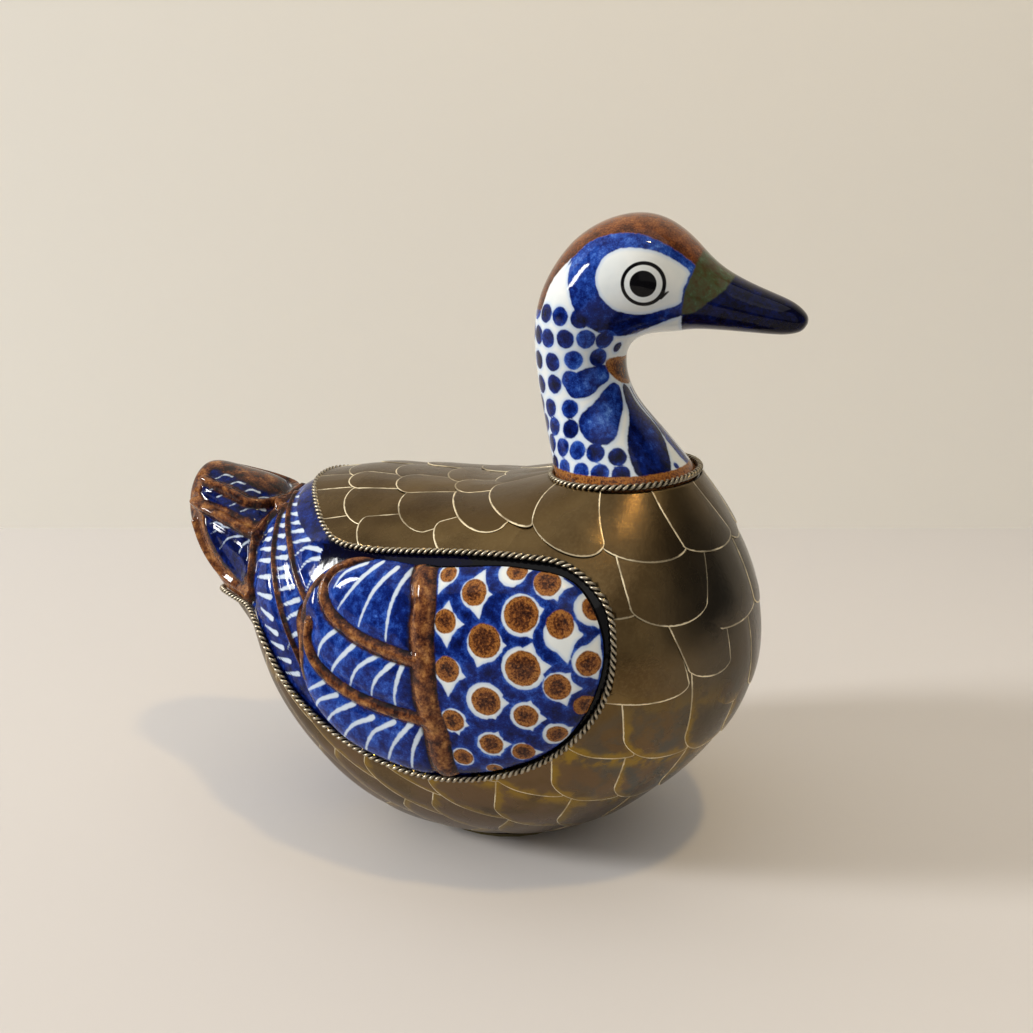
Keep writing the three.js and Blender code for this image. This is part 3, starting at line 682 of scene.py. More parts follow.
# Raised ribs of rump and tail, each with its half width and height.
BODY_RIBS = [
    ([(-83, 145), (-79.5, 138), (-75, 127), (-69, 115), (-63, 104.5), (-55, 92), (-50, 84)], 1.7, 1.2),
    ([(-80, 149), (-76, 144), (-68, 135), (-60, 124.5), (-52, 116), (-44, 110)], 1.7, 1.2),
    (RUMP_EDGE, 2.4, 1.9),
    ([(-84, 142.5), (-99, 144), (-112, 148), (-128, 151.5)], 2.7, 1.8),
    ([(-91.5, 132.5), (-99, 134.8), (-111.5, 138), (-131, 141.8)], 2.9, 2.0),
    ([(-88.5, 108.5), (-97, 108), (-111.3, 111.5), (-123.5, 120.8), (-130, 133)], 2.6, 1.6),
]
MERGING_RIBS = [(-56, 113), (-50, 117.5), (-41, 112), (-44, 95), (-41, 82), (-46, 76.5), (-51, 84), (-55, 96)]
CRESCENT = [(-84, 154.5), (-76.2, 150.2), (-70.6, 145.6), (-63, 141.1), (-52.3, 137), (-40, 135)]
ABOVE_THE_CRESCENT = [(-28, 134), (-28, 150), (-60, 165), (-90, 165)]
# White bars left in the cobalt, as brush strokes that widen from the first half width to the second.
BAR_WIDTHS = (0.4, 1.25)
TAIL_STROKE_WIDTHS = (0.2, 0.6)
TAIL_PANEL_CARVED = 0.9
CRESCENT_DEPTH = 0.62
TAIL_DEPTH = 0.72
# Ahead of this line a plain dark margin runs round the wings, darker above them than below.
MARGIN_FROM = -48
MARGIN_DEPTHS = (1.1, 0.72)
# Painted shadow: ahead of this x, and within this width inside the window line, the clay is black for the
# deep groove between each wing's front and the wire.
GROOVE_SHADOW_FROM = 20
GROOVE_SHADOW_WIDTH = 7
FRONT_BARS = [
    [(-79, 148.2), (-72, 150.1)], [(-77.6, 146.4), (-71, 147.6)], [(-75.6, 143.8), (-68.6, 145)],
    [(-73.6, 140.8), (-65, 142.8)], [(-71.5, 138.2), (-61.4, 140.6)],
    [(-69, 134.8), (-61.9, 136.8), (-55, 138.9)], [(-65, 130.2), (-57.6, 135), (-47.6, 135.9)],
    [(-60, 125), (-54.8, 130.8), (-43.4, 134.2)], [(-54.4, 118.6), (-49.1, 126.7), (-38.6, 134.2)],
]
MIDDLE_BARS = [
    [(-85, 140.2), (-78, 142.8)], [(-82.2, 138.2), (-75.2, 140)], [(-79.6, 135.2), (-73.2, 136.6)],
    [(-77.8, 131.4), (-70.2, 132.8)], [(-76.4, 127.6), (-67.8, 129.8)], [(-74, 124), (-65.8, 126.4)],
    [(-72.8, 121), (-64.2, 123.4)], [(-70.4, 116.3), (-60.8, 120.2)], [(-68.6, 110.2), (-57, 115.6)],
    [(-65, 104), (-60.5, 108.4), (-53, 111.8)], [(-61.6, 94.4), (-58.7, 100.6), (-52.6, 103.6)],
]
REAR_BARS = [
    [(-88.9, 133.4), (-83.4, 136.3)], [(-88.2, 131.2), (-82, 133.4)], [(-87.2, 128.2), (-79.8, 130.2)],
    [(-86.3, 124.2), (-78.2, 126.2)], [(-84.6, 118.2), (-75.8, 120.5)], [(-83, 112), (-73.4, 113)],
    [(-79.6, 106.8), (-71, 104.8)], [(-76, 100.4), (-68, 99.2)], [(-72.4, 94.4), (-64.6, 94)],
    [(-68.4, 88.4), (-60.6, 89)], [(-63.6, 82.6), (-56, 84.4)],
]
TAIL_PANELS = [
    [(-127, 153.2), (-112.2, 150.2), (-98.8, 145.8), (-93, 143.2), (-96, 145.8), (-103, 149), (-110, 151.4),
     (-119, 153.6), (-126, 154.8)],
    [(-126, 145.6), (-111.5, 142.4), (-99, 139.2), (-93, 138), (-89, 140.8), (-98.8, 142), (-112.2, 145.5),
     (-127, 149)],
    [(-122, 138.4), (-119, 130.5), (-110, 119.6), (-97.4, 112), (-91.5, 122.9), (-93.5, 130.6),
     (-106, 134.8)],
]
TAIL_STROKES = [
    [(-122.6, 152.4), (-119.2, 153.4), (-115.4, 152.8)], [(-115.4, 150.2), (-111.9, 151.2), (-107.4, 150.4)],
    [(-107, 147.6), (-103.8, 148.6), (-99.6, 147.2)], [(-100, 145), (-97.6, 145.6), (-94.4, 144.2)],
    [(-126, 147), (-121.2, 148.5), (-114.6, 147.8)], [(-118, 145.6), (-113.6, 147), (-107.6, 146.2)],
    [(-109.6, 142.9), (-105.8, 144.2), (-99.6, 143.4)], [(-103, 141.2), (-98.8, 142.5), (-93.6, 141.3)],
    [(-119.2, 134.2), (-115.5, 135.4), (-111.6, 135.2)], [(-117.4, 130), (-111.8, 133.8), (-106, 134.8)],
    [(-112, 124), (-106.8, 129.8), (-98.6, 132.2)], [(-99.6, 124.6), (-97.1, 129.3), (-93.8, 131.6)],
]
window_line = smooth_line(WINDOW_LINE)
window_outline = np.concatenate([spaced(window_line, 110), [(-400, 88), (-400, 161)]])


def ridge(line, points, half_width, height):
    """A rounded rib along a line, as its rise and how far a point lies inside its edge. The rise
    is a cosine over the half width, in a shallow groove shaped like a bell."""
    away = -beside(line, points)
    crest = np.where(away < half_width, np.cos(np.pi / 2 * np.minimum(away / half_width, 1)) ** 1.3, 0)
    groove = np.exp(-(((away - half_width - 1.0) / 1.9) ** 2))
    return height * (crest - 0.34 * groove), half_width - away


def body_and_tail():
    """The body's skin with its ribs raised and its tail panels carved along the normal, and with
    each paint's distances on the duck's right, mirrored to its left."""
    front_rows = np.linspace(0, BODY_FRONT_SECTIONS, BODY_FRONT_ROWS)[:-1]
    rear_rows = np.linspace(BODY_FRONT_SECTIONS, len(BODY_SECTIONS) - 1, BODY_ROWS - len(front_rows))
    u = np.r_[front_rows, rear_rows][:, None]
    angle = np.linspace(0, 2 * math.pi, BODY_AROUND, endpoint=False)
    base = body_point(u, angle[None])
    x, y, z = np.moveaxis(base, -1, 0)
    right = np.stack([x, -np.abs(y), z], -1)

    relief = np.zeros(x.shape)
    rib = np.maximum(within(smooth_line(MERGING_RIBS, closed=True, per_span=5), x, z), FAR_OUTSIDE)
    for line, half_width, height in BODY_RIBS:
        rise, inside = ridge(on_side(smooth_line(line, per_span=6)), right, half_width, height)
        relief, rib = relief + rise, np.maximum(rib, inside)
    tail = within(np.concatenate([smooth_line(RUMP_EDGE), BEHIND_THE_RUMP]), x, z)
    panels = np.max([within(smooth_line(p, closed=True, per_span=5), x, z) for p in TAIL_PANELS], axis=0)
    relief -= TAIL_PANEL_CARVED * np.clip(panels / 3, 0, 1) * (tail > 0)
    rib = np.where(tail > 0, np.maximum(rib, np.minimum(tail, -panels)), rib)

    strokes = np.full(x.shape, FAR_OUTSIDE)
    for line in FRONT_BARS + MIDDLE_BARS + REAR_BARS:
        brush = on_side(smooth_line(line, per_span=5) if len(line) > 2 else line)
        strokes = np.maximum(strokes, beside(brush, right, BAR_WIDTHS))
    for line in TAIL_STROKES:
        brush = on_side(smooth_line(line, per_span=5))
        strokes = np.maximum(strokes, beside(brush, right, TAIL_STROKE_WIDTHS))
    crescent = within(np.concatenate([smooth_line(CRESCENT), ABOVE_THE_CRESCENT]), x, z)
    margin = x > MARGIN_FROM
    cobalt = np.where(tail > 0, np.minimum(panels + 1.2, -strokes), -strokes)
    cobalt = np.where(crescent > -0.2, np.maximum(crescent, cobalt), cobalt)
    cobalt = np.where(margin, 5.0, cobalt)
    depth = np.where(tail > 0, TAIL_DEPTH, 0.44 + 0.18 * np.clip((118 - z) / 30, 0, 1))
    depth = np.where(crescent > 0, CRESCENT_DEPTH, depth)
    depth = np.where(margin, np.where(z > 100, *MARGIN_DEPTHS), depth)
    # Painted shadow: black in the groove between the wing's front and the wire.
    painted_groove_shadow = (x > GROOVE_SHADOW_FROM) & (within(window_outline, x, z) < GROOVE_SHADOW_WIDTH)
    ink_and_shade = np.where(painted_groove_shadow, 4.0, FAR_OUTSIDE)
    fields = {"cobalt": cobalt, "depth": depth, "rib": rib, "ink_and_shade": ink_and_shade}

    grid = base + body_normal(u, angle[None]) * relief[..., None]
    grid[..., 2] = np.maximum(grid[..., 2], BODY_LOWEST)
    grid[..., 0] = np.maximum(grid[..., 0], BODY_REARMOST)
    painted_piece("body_and_tail", grid, fields)


body_and_tail()

# Wings: low cushions modelled on the body sides. A stout rib and two branches part each wing
# into a front panel of brown spots in white scales on blue, and three rear panels of strokes.
WING_OUTLINE = [
    (75.4, 118), (64, 137), (41, 141.6), (2, 138), (-33, 135), (-48.5, 123), (-53, 104), (-48.5, 80),
    (-33, 63.6), (-17, 57.8), (5, 54.6), (32, 59.2), (57.8, 73.4), (71.8, 94),
]
WING_SWELL = 4.7
WING_SHOULDER = 11.0
WING_ROOT = 2.5
WING_AROUND = 520
WING_RINGS = 120
WING_RING_SPREAD = 1.15
REAR_PANEL_SWELL = 1.3
REAR_PANEL_SHOULDER = 8
MAIN_RIB = [
    (3.2, 142), (4.6, 136), (7, 127), (7.6, 114), (8.7, 102), (9.8, 88.5), (12.8, 77.4), (13.8, 64.4),
    (14.6, 55),
]
UPPER_BRANCH = [
    (-22, 138), (-27, 136), (-37, 130.5), (-40, 124), (-36, 116.5), (-24.8, 110.6), (-11.8, 107.4),
    (6, 105.2),
]
LOWER_BRANCH = [(-46.2, 109), (-46.4, 102), (-42.4, 95.4), (-32.2, 88.8), (-19.8, 85), (-5.2, 83), (11, 82)]
# Each rib with its half width and height.
WING_RIBS = [(MAIN_RIB, 5.5, 1.7), (UPPER_BRANCH, 3.2, 1.6), (LOWER_BRANCH, 3.2, 1.6)]
# The brown edge behind the branches: its reach inwards, its foremost x, its lowest and highest z.
REAR_RIM = (4.2, -30, 86, 128)
WING_STROKE_WIDTHS = (0.35, 1.05)
# How far in from its outline the front panel's rim is painted black, as painted shadow where the rim sinks
# into the groove by the wire.
RIM_SHADOW_WIDTH = 1.2
# Spots of the front panel: x, z, brown radius, white radius, the white's shift in x and z, and
# the corners the white scale is drawn out to, as degrees from ahead and reach.
WING_SPOTS = [
    (14.9, 136.2, 3.4, 3.8, 0, 0, ((-108, 7.2), (150, 4.5))),
    (41.2, 139.6, 3.9, 5.2, -1.2, -0.5, ((10, 5.6),)),
    (53.0, 136.8, 5.0, 5.2, 0.8, -0.3, ((-4, 9.0), (60, 6.6), (-50, 7.0))),
    (26.9, 131.7, 4.8, 5.0, 0.2, -0.3, ((73, 7.8), (0, 7.0), (-69, 8.8))),
    (45.4, 126.5, 6.3, 6.7, 0, -0.3, ((16, 8.3), (-58, 8.7))),
    (59.4, 124.1, 4.9, 5.8, 0.6, -3.2, ((-21, 8.8), (-75, 13.6))),
    (70.2, 129.6, 4.4, 5.5, -1.1, -0.2, ((120, 7.0), (-71, 7.0))),
    (16.8, 121.1, 4.4, 4.6, 0.2, -0.6, ((84, 6.9), (0, 7.6), (-81, 9.0))),
    (32.6, 116.4, 6.2, 6.3, 0.2, -1.2, ((-4, 8.2), (-104, 9.9))),
    (47.1, 108.2, 6.5, 7.4, 0.2, 0.1, ((72, 10.0), (10, 10.2))),
    (69.9, 111.0, 4.6, 5.3, -0.3, 0.7, ((72, 10.4), (-62, 7.2))),
    (59.4, 102.2, 5.0, 5.2, 0.4, 0, ((-3, 8.6), (51, 7.2), (-66, 8.0))),
    (18.5, 104.3, 4.9, 5.0, 0.4, -0.9, ((-14, 7.6), (-88, 10.3))),
    (33.5, 94.1, 5.6, 6.8, -0.2, 0, ((3, 8.6), (-64, 7.6))),
    (68.7, 94.6, 4.2, 0, 0, 0, ()),
    (48.0, 89.8, 4.6, 5.3, 0, 0, ((-4, 7.5), (73, 6.7), (-70, 6.4))),
    (20.2, 84.3, 4.5, 4.8, 0.3, -0.1, ((-10, 6.4), (-70, 6.0))),
    (58.8, 82.3, 4.1, 5.0, 0, 0.2, ((24, 6.2),)),
    (34.5, 76.2, 4.5, 5.0, 0, 0, ((7, 7.4), (63, 6.6), (-60, 6.0))),
    (46.2, 73.6, 4.4, 4.2, 0, 0, ((-4, 7.0),)),
    (22.9, 68.5, 3.9, 4.3, 0, 0, ()),
    (34.2, 63.4, 3.0, 3.2, 0, 0, ()),
]
WING_STROKES = [
    [(-33.2, 124.6), (-29.4, 130.4), (-21.4, 134.8)], [(-30.4, 117.6), (-22.7, 127.5), (-14.4, 136)],
    [(-19.8, 113.6), (-14.6, 125.9), (-6.8, 135)], [(-7.2, 110.6), (-5.5, 124), (-0.4, 136)],
    [(-40.6, 96.8), (-36.9, 104), (-30.8, 110)], [(-34.6, 91.4), (-29.4, 98.2), (-22, 106)],
    [(-24.4, 89.2), (-19.2, 98.3), (-9.2, 105.6)], [(-14.2, 88), (-11, 95.4), (-2.8, 104.2)],
    [(-3.8, 85.8), (-2.4, 93.9), (0, 102.4)],
    [(-46, 82.2), (-42.1, 84.9), (-37.4, 87.8)], [(-44, 74.2), (-39.2, 80.2), (-31.2, 84)],
    [(-38.8, 69.2), (-31.8, 77), (-23, 82.2)], [(-31.4, 63.6), (-23.5, 73.4), (-14, 78.8)],
    [(-20.4, 61.2), (-14, 72.6), (-4.8, 78.8)], [(-9.8, 60), (-4.9, 70.1), (2.6, 79.6)],
    [(0.6, 58.6), (3.2, 69.3), (7.2, 78)],
]


def swelling(inside, height, shoulder):
    """A swell like a quarter of an ellipse, from its edge up to its height at the shoulder."""
    return height * np.sqrt(1 - (1 - np.clip(inside / shoulder, 0, 1)) ** 2)


def spots_and_scales(base):
    """How far points lie inside the brown spots and inside the white scales. A scale is a disc
    with brush strokes drawn from it to its corners."""
    brown = np.full(base.shape[:2], FAR_OUTSIDE)
    white = brown.copy()
    for place_x, place_z, size, halo, shift_x, shift_z, corners in WING_SPOTS:
        places = [(place_x, place_z), (place_x + shift_x, place_z + shift_z)]
        for degrees, far_off in corners:
            turn = math.radians(degrees)
            places.append((place_x + far_off * math.cos(turn), place_z + far_off * math.sin(turn)))
        centre, foot, *tips = on_side(places)
        brown = np.maximum(brown, size - np.linalg.norm(base - centre, axis=-1))
        white = np.maximum(white, halo - np.linalg.norm(base - foot, axis=-1))
        for tip in tips:
            white = np.maximum(white, beside(np.array([foot, tip]), base, (halo * 1.08, 0.1)))
    return brown, white


def wing(name, side):
    """One wing as rings of points from its outline in to its middle. It swells off the skin
    along the normal, and its underside lies in the clay. Side is -1 for the right, 1 for the left."""
    outline = smooth_line(WING_OUTLINE, closed=True)
    outline = spaced(np.concatenate([outline, outline[:1]]), WING_AROUND)[:-1]
    middle = (outline.max(0) + outline.min(0)) / 2
    radius = np.linalg.norm(outline - middle, axis=1)
    share = np.r_[0, np.linspace(0, 1, WING_RINGS)[:-1] ** WING_RING_SPREAD]
    inset = share[:, None] * radius[None]
    flat = outline[None] + (middle - outline)[None] * share[:, None, None]
    u, angle, _ = from_side(flat[..., 0], flat[..., 1])
    base = body_point(u, -angle)
    x, z = base[..., 0], base[..., 2]

    relief, rib = np.zeros(x.shape), np.full(x.shape, FAR_OUTSIDE)
    for line, half_width, height in WING_RIBS:
        rise, inside = ridge(on_side(smooth_line(line, per_span=6)), base, half_width, height)
        relief, rib = np.maximum(relief, rise) + np.minimum(rise, 0), np.maximum(rib, inside)
    rib_line = smooth_line(MAIN_RIB)[::-1]
    behind_rib = np.interp(z, rib_line[:, 1], rib_line[:, 0]) - x
    front = behind_rib < 0
    relief += np.where(front, 0, swelling(-rib, REAR_PANEL_SWELL, REAR_PANEL_SHOULDER))
    reach, ends_at, low, high = REAR_RIM
    at_rear_rim = (x < ends_at) & (z > low) & (z < high)
    rib = np.maximum(rib, np.where(at_rear_rim, reach - inset, FAR_OUTSIDE))

    brown, white = spots_and_scales(base)
    strokes = np.full(x.shape, FAR_OUTSIDE)
    for line in WING_STROKES:
        brush = on_side(smooth_line(line, per_span=6))
        strokes = np.maximum(strokes, beside(brush, base, WING_STROKE_WIDTHS))
    cobalt = np.where(front, -white, -strokes)
    rear_depth = 0.44 + 0.34 * np.exp(-np.clip(behind_rib, 0, 40) / 7)
    depth = np.where(front, 0.44 + 0.06 * np.clip(-white, 0, 4), rear_depth)
    depth = depth - 0.16 * np.exp(-np.clip(cobalt, 0, 9) / 0.9)
    # Painted shadow: the front panel's rim is black where it meets the groove by the wire.
    painted_rim_shadow = np.where(front & (inset < RIM_SHADOW_WIDTH), RIM_SHADOW_WIDTH - inset, FAR_OUTSIDE)
    brown = np.where(front, brown, FAR_OUTSIDE)
    fields = {"cobalt": cobalt, "depth": depth, "brown": brown, "rib": rib, "ink_and_shade": painted_rim_shadow}
    fields = {key: np.concatenate([values[:1], values]) for key, values in fields.items()}

    dome = swelling(inset, WING_SWELL, WING_SHOULDER)
    rise = np.r_[np.full((1, WING_AROUND), -WING_ROOT), (dome + relief)[1:]]
    grid = base + body_normal(u, -angle) * rise[..., None]
    under_x, under_z = (outline + (middle - outline) * 0.3).T
    under_u, under_angle, _ = from_side(under_x, under_z)
    under = body_point(under_u, -under_angle) - WING_ROOT * body_normal(under_u, -under_angle)
    grid = np.concatenate([under[None], grid]) * np.array([1, -side, 1])
    painted_piece(name, grid, fields, flip=side > 0)


wing("right_wing", -1)
wing("left_wing", 1)

# Brass feathers: cut from thin sheet, bent over the clay, lapped from the neck down like
# shingles and soldered. Their edges are bare bright metal, their faces dull with age.
SHEET = 0.35
SEAT = 0.45
LAP = 0.95
PILLOW = 0.35
PILLOW_SHOULDER = 7.0
UNDER = 3.0
TUCKED_BELOW = 0.12
LOW_SIDE_SHARE = 0.2
LEAST_SEAT = 0.27
ROOT_GAP = 0.6
FRONT_PITCH = 30.0
FEATHERS_LOWEST = 0.6
BELLY_BELOW = 12.0
ACROSS = 34
ALONG = 28
SOLE_CENTRE_X = 12.0
SOLE_HALF = (33.0, 26.0)

# Skin lengths from the neck wire, as a table of section numbers over angle and distance.
TABLE_ROWS = 360
TABLE_COLUMNS = 600
TABLE_ANGLES = np.linspace(-math.pi, math.pi, TABLE_ROWS + 1)
TABLE_REACH = 300.0
sections_walked = np.linspace(0, len(BODY_SECTIONS) - 1, 700)
walked = body_point(sections_walked[None], TABLE_ANGLES[:, None])
lengths = np.cumsum(np.linalg.norm(np.diff(walked, axis=1), axis=2), axis=1)
lengths = np.concatenate([np.zeros((TABLE_ROWS + 1, 1)), lengths], axis=1)
table_distances = np.linspace(0, TABLE_REACH, TABLE_COLUMNS + 1)
section_table = np.stack([np.interp(table_distances, row, sections_walked) for row in lengths])


def section_at(angle, distance):
    """Section number at an angle and a distance down the skin, read between table entries."""
    turned = (angle + math.pi) % (2 * math.pi)
    row = turned / (2 * math.pi) * TABLE_ROWS
    column = np.clip(distance / TABLE_REACH, 0, 1) * TABLE_COLUMNS
    i = np.clip(row.astype(int), 0, TABLE_ROWS - 1)
    j = np.clip(column.astype(int), 0, TABLE_COLUMNS - 1)
    a, b = row - i, column - j
    upper = section_table[i, j] * (1 - b) + section_table[i, j + 1] * b
    lower = section_table[i + 1, j] * (1 - b) + section_table[i + 1, j + 1] * b
    return upper * (1 - a) + lower * a


BROWN_BRASS, OLIVE_BRASS = (0.098, 0.062, 0.026), (0.170, 0.112, 0.047)
SCUFFED_BRASS = (0.20, 0.14, 0.065)
DARK_BRASS = (0.060, 0.037, 0.017)
GREY_TARNISH = (0.082, 0.076, 0.064)
WARM_STAIN, BLUE_STAIN = (0.170, 0.108, 0.058), (0.090, 0.096, 0.090)
GOLDEN_STAIN = (0.31, 0.195, 0.030)
BARE_BRASS = (0.82, 0.72, 0.50)


def aged_brass():
    """Brass gone brown. Smoky blotches and each feather's own tone vary it, tarnish greys it on
    the breast, and low down it is stained warm, blue and gold. Only its cut edges are bare."""
    brass = Finish("aged_brass")
    plus, times, blend, edge, field = brass.plus, brass.times, brass.blend, brass.edge, brass.field
    smoky, fine = brass.noise(30, 3, 0.55), brass.noise(1.3, 4, 0.65)
    forward, height = brass.place(0), brass.place(2)
    dull = blend(edge(smoky, 0.34, 0.66), BROWN_BRASS, OLIVE_BRASS)
    dull = blend(times(edge(fine, 0.42, 0.72), 0.35), dull, SCUFFED_BRASS)
    dull = blend(times(edge(field("tone"), 0.0, 1.0), 0.45), dull, DARK_BRASS)
    dull = blend(times(edge(forward, 0.085, 0.118), 0.75), dull, GREY_TARNISH)
    bluish = times(edge(brass.noise(11, 3, 0.6), 0.42, 0.58), edge(forward, 0.050, 0.085))
    stained = edge(plus(brass.noise(26), times(field("tone"), 0.15)), 0.46, 0.60)
    stained = times(stained, edge(height, 0.115, 0.045))
    dull = blend(times(stained, 0.85), dull, blend(bluish, WARM_STAIN, BLUE_STAIN))

    lapped = edge(plus(field("lap"), times(plus(smoky, -0.5), 12)), 7.0, 0.5)
    lapped = times(lapped, edge(brass.noise(6, 4, 0.6), 0.40, 0.58))
    rim = edge(plus(field("edge"), times(brass.uneven(5), 9)), 4.6, 0.8)
    golden = times(brass.combined("MAXIMUM", lapped, rim), edge(height, 0.100, 0.070))
    dull = blend(times(golden, 0.85), dull, GOLDEN_STAIN)

    bright = edge(plus(field("edge"), times(brass.uneven(1.8, 4, 0.65), 0.75)), 0.62, 0.28)
    bright = times(bright, plus(times(edge(brass.noise(13, 2), 0.42, 0.56), 0.6), 0.4))
    brass.join(blend(bright, dull, BARE_BRASS), brass.surface["Base Color"])
    brass.join(plus(times(bright, -0.6), 1.0), brass.surface["Metallic"])
    brass.join(plus(times(smoky, 0.22), times(bright, 0.15), 0.16), brass.surface["Roughness"])
    brass.join(brass.bump(plus(times(fine, 0.25), brass.noise(14)), 0.5, 0.4), brass.surface["Normal"])
    return brass.material


feather_brass = aged_brass()


def feather_sheet(left, right, root, tip, depth, lift, lean=0.0):
    """One feather as a grid of points. Its left and right seams each run from a first angle at
    its root to a second at its tip, in degrees. The tip line falls back by a half ellipse of
    the given depth at the sides. The sheet is a low pillow that climbs evenly from its seat, so
    that its tip passes over the next feathers; unlifted sheets reach under their neighbours. A
    leaning sheet is raised at one side only, and its tip falls back little at the other."""
    a = np.sin(np.linspace(-math.pi / 2, math.pi / 2, ACROSS + 1))
    s = np.sin(np.linspace(0, math.pi / 2, ALONG + 1))[:, None]
    falls_back = depth * np.where(a * np.sign(lean) < 0, LOW_SIDE_SHARE, 1)
    end = tip - falls_back * (1 - np.sqrt(np.clip(1 - a**2, 0, 1)))
    distance = root + (end - root) * s
    share = (distance - root) / (tip - root)
    tucked = UNDER if lift < TUCKED_BELOW else 0
    left_seam = left[0] + (left[1] - left[0]) * share - (tucked if lean >= 0 else 0)
    right_seam = right[0] + (right[1] - right[0]) * share + (tucked if lean <= 0 else 0)
    angle = np.radians((left_seam + right_seam) / 2 + (right_seam - left_seam) / 2 * a)
    u = section_at(angle, np.maximum(distance, ROOT_GAP))
    skin_at = body_point(u, angle)
    half_width = np.linalg.norm(skin_at[:, -1:] - skin_at[:, :1], axis=-1) / 2
    to_edge = np.minimum((1 - np.abs(a))[None] * half_width, (end - distance) * 0.85)
    climb = LAP * (distance - (tip - FRONT_PITCH - depth)) / FRONT_PITCH
    height = np.maximum(SEAT + lift + abs(lean) / 2 + lean / 2 * a + climb, LEAST_SEAT)
    height = height + PILLOW * np.clip(to_edge / PILLOW_SHOULDER, 0, 1) ** 0.7
    points = skin_at + body_normal(u, angle) * height[..., None]
    return skin_at, points, to_edge, distance - (tip - FRONT_PITCH)


def over_the_sole(points):
    """Share of the way in from the sole's edge, for points of the belly, and below 0 elsewhere."""
    away = np.hypot((points[..., 0] - SOLE_CENTRE_X) / SOLE_HALF[0], points[..., 1] / SOLE_HALF[1])
    return np.where(points[..., 2] < BELLY_BELOW, 1 - away, -1)


def feather_course(name, feathers, nodes):
    """All feathers of a course in one mesh, without what lies in the window or over the sole."""
    points, faces, edges, laps, tones, count = [], [], [], [], [], 0
    for number, feather in enumerate(feathers):
        skin_at, grid, to_edge, lap = feather_sheet(*feather)
        rows, columns = grid.shape[:2]
        i, j = np.meshgrid(np.arange(rows - 1), np.arange(columns - 1), indexing="ij")
        a = (i * columns + j).ravel()
        quads = np.stack([a, a + columns, a + columns + 1, a + 1], -1)
        in_window = within(window_outline, skin_at[..., 0], skin_at[..., 2]).ravel()
        on_sole = over_the_sole(skin_at).ravel()
        grid[..., 2] = np.maximum(grid[..., 2], FEATHERS_LOWEST)
        quads = quads[(in_window[quads].mean(1) < 0.1) & (on_sole[quads].mean(1) < 0)]
        used = np.unique(quads)
        if not len(used):
            continue
        place = np.full(rows * columns, -1)
        place[used] = np.arange(len(used)) + count
        points.append(grid.reshape(-1, 3)[used])
        faces.append(place[quads])
        edges.append(to_edge.ravel()[used])
        laps.append(lap.ravel()[used])
        tones.append(np.full(len(used), (number * 0.618 + feather[3] * 0.37) % 1))
        count += len(used)
    fields = {"edge": np.concatenate(edges), "lap": np.concatenate(laps), "tone": np.concatenate(tones)}
    piece = piece_from(
        name, np.concatenate(points), [np.concatenate(faces)], feather_brass, fields
    )
    thickness = piece.modifiers.new("sheet", "SOLIDIFY")
    thickness.thickness = SHEET / 1000
    thickness.offset = -1.0
    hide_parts(*[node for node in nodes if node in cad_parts])


def both_sides(feathers):
    """The feathers and their mirror images."""
    mirrored = [
        ((-right[0], -right[1]), (-left[0], -left[1]), *rest[:4], *(-lean for lean in rest[4:]))
        for left, right, *rest in feathers
    ]
    return feathers + mirrored


# Each feather: left seam and right seam as angles at root and tip, root, tip, depth, lift, lean.
COLLAR = both_sides([
    ((0, 0), (10, 20), 0, 26.5, 6, 0.0), ((10, 20), (40, 70), 0, 29.5, 6, 0.35),
    ((40, 70), (85, 101), 0, 30.2, 9, 0.35), ((85, 101), (121, 135), 0, 29.2, 7, 0.0),
    ((121, 135), (160, 173), 0, 28.8, 5, 0.35),
]) + [((160, 173), (200, 187), 0, 30, 6, 0.0)]
feather_course("collar_feathers", COLLAR, [f"neck_feather_{i}" for i in range(1, 11)])

SHOULDERS = both_sides([
    ((9, 9), (24, 25), 16, 43, 8, 0.35), ((24, 25), (50, 60), 14, 44, 13, -0.05, 0.2),
    ((55, 72), (98, 113), 14, 52, 6, 0.0), ((98, 113), (147, 138), 16, 53, 7, 0.35),
    ((147, 138), (171, 172), 18, 58.6, 6, 0.0),
]) + [((171, 172), (189, 188), 18, 58, 5, 0.35), ((-9, -9), (9, 9), 10, 50, 9, 0.0)]
feather_course("shoulder_feathers", SHOULDERS, [f"shoulder_feather_{i}" for i in range(1, 11)])

BREAST = both_sides([
    ((90, 100), (118, 136), 42, 84.3, 9, 0.0), ((118, 136), (146, 152), 42, 75, 5, 0.35),
    ((146, 152), (163, 169), 46, 92.5, 6, 0.0),
]) + [((163, 169), (197, 191), 46, 92, 6, 0.35)]
feather_course("breast_feathers", BREAST, [f"breast_feather_{i}" for i in range(1, 8)])

BACK = both_sides([
    ((8, 7), (22, 23), 34, 69, 9, 0.35), ((22, 23), (40, 42), 34, 66.4, 9, 0.0),
    ((40, 42), (64, 70), 24, 58, 8, 0.0, -0.25),
    ((8, 7), (19, 20), 60, 91.4, 8, 0.35), ((19, 20), (34, 34), 58, 90.8, 9, 0.0),
    ((34, 34), (54, 56), 50, 87, 8, 0.35),
    ((8, 8), (18, 19), 84, 117, 8, 0.35), ((18, 19), (32, 33), 82, 115, 9, 0.0),
    ((32, 33), (52, 54), 78, 112, 8, 0.35),
]) + [
    ((-8, -7), (8, 7), 42, 74.5, 8, 0.0), ((-8, -7), (8, 7), 66, 97, 8, 0.0),
    ((-8, -8), (8, 8), 88, 120, 8, 0.0),
]
feather_course("back_feathers", BACK, [f"back_feather_{c}_{i}" for c in (3, 4, 5) for i in range(1, 7)])

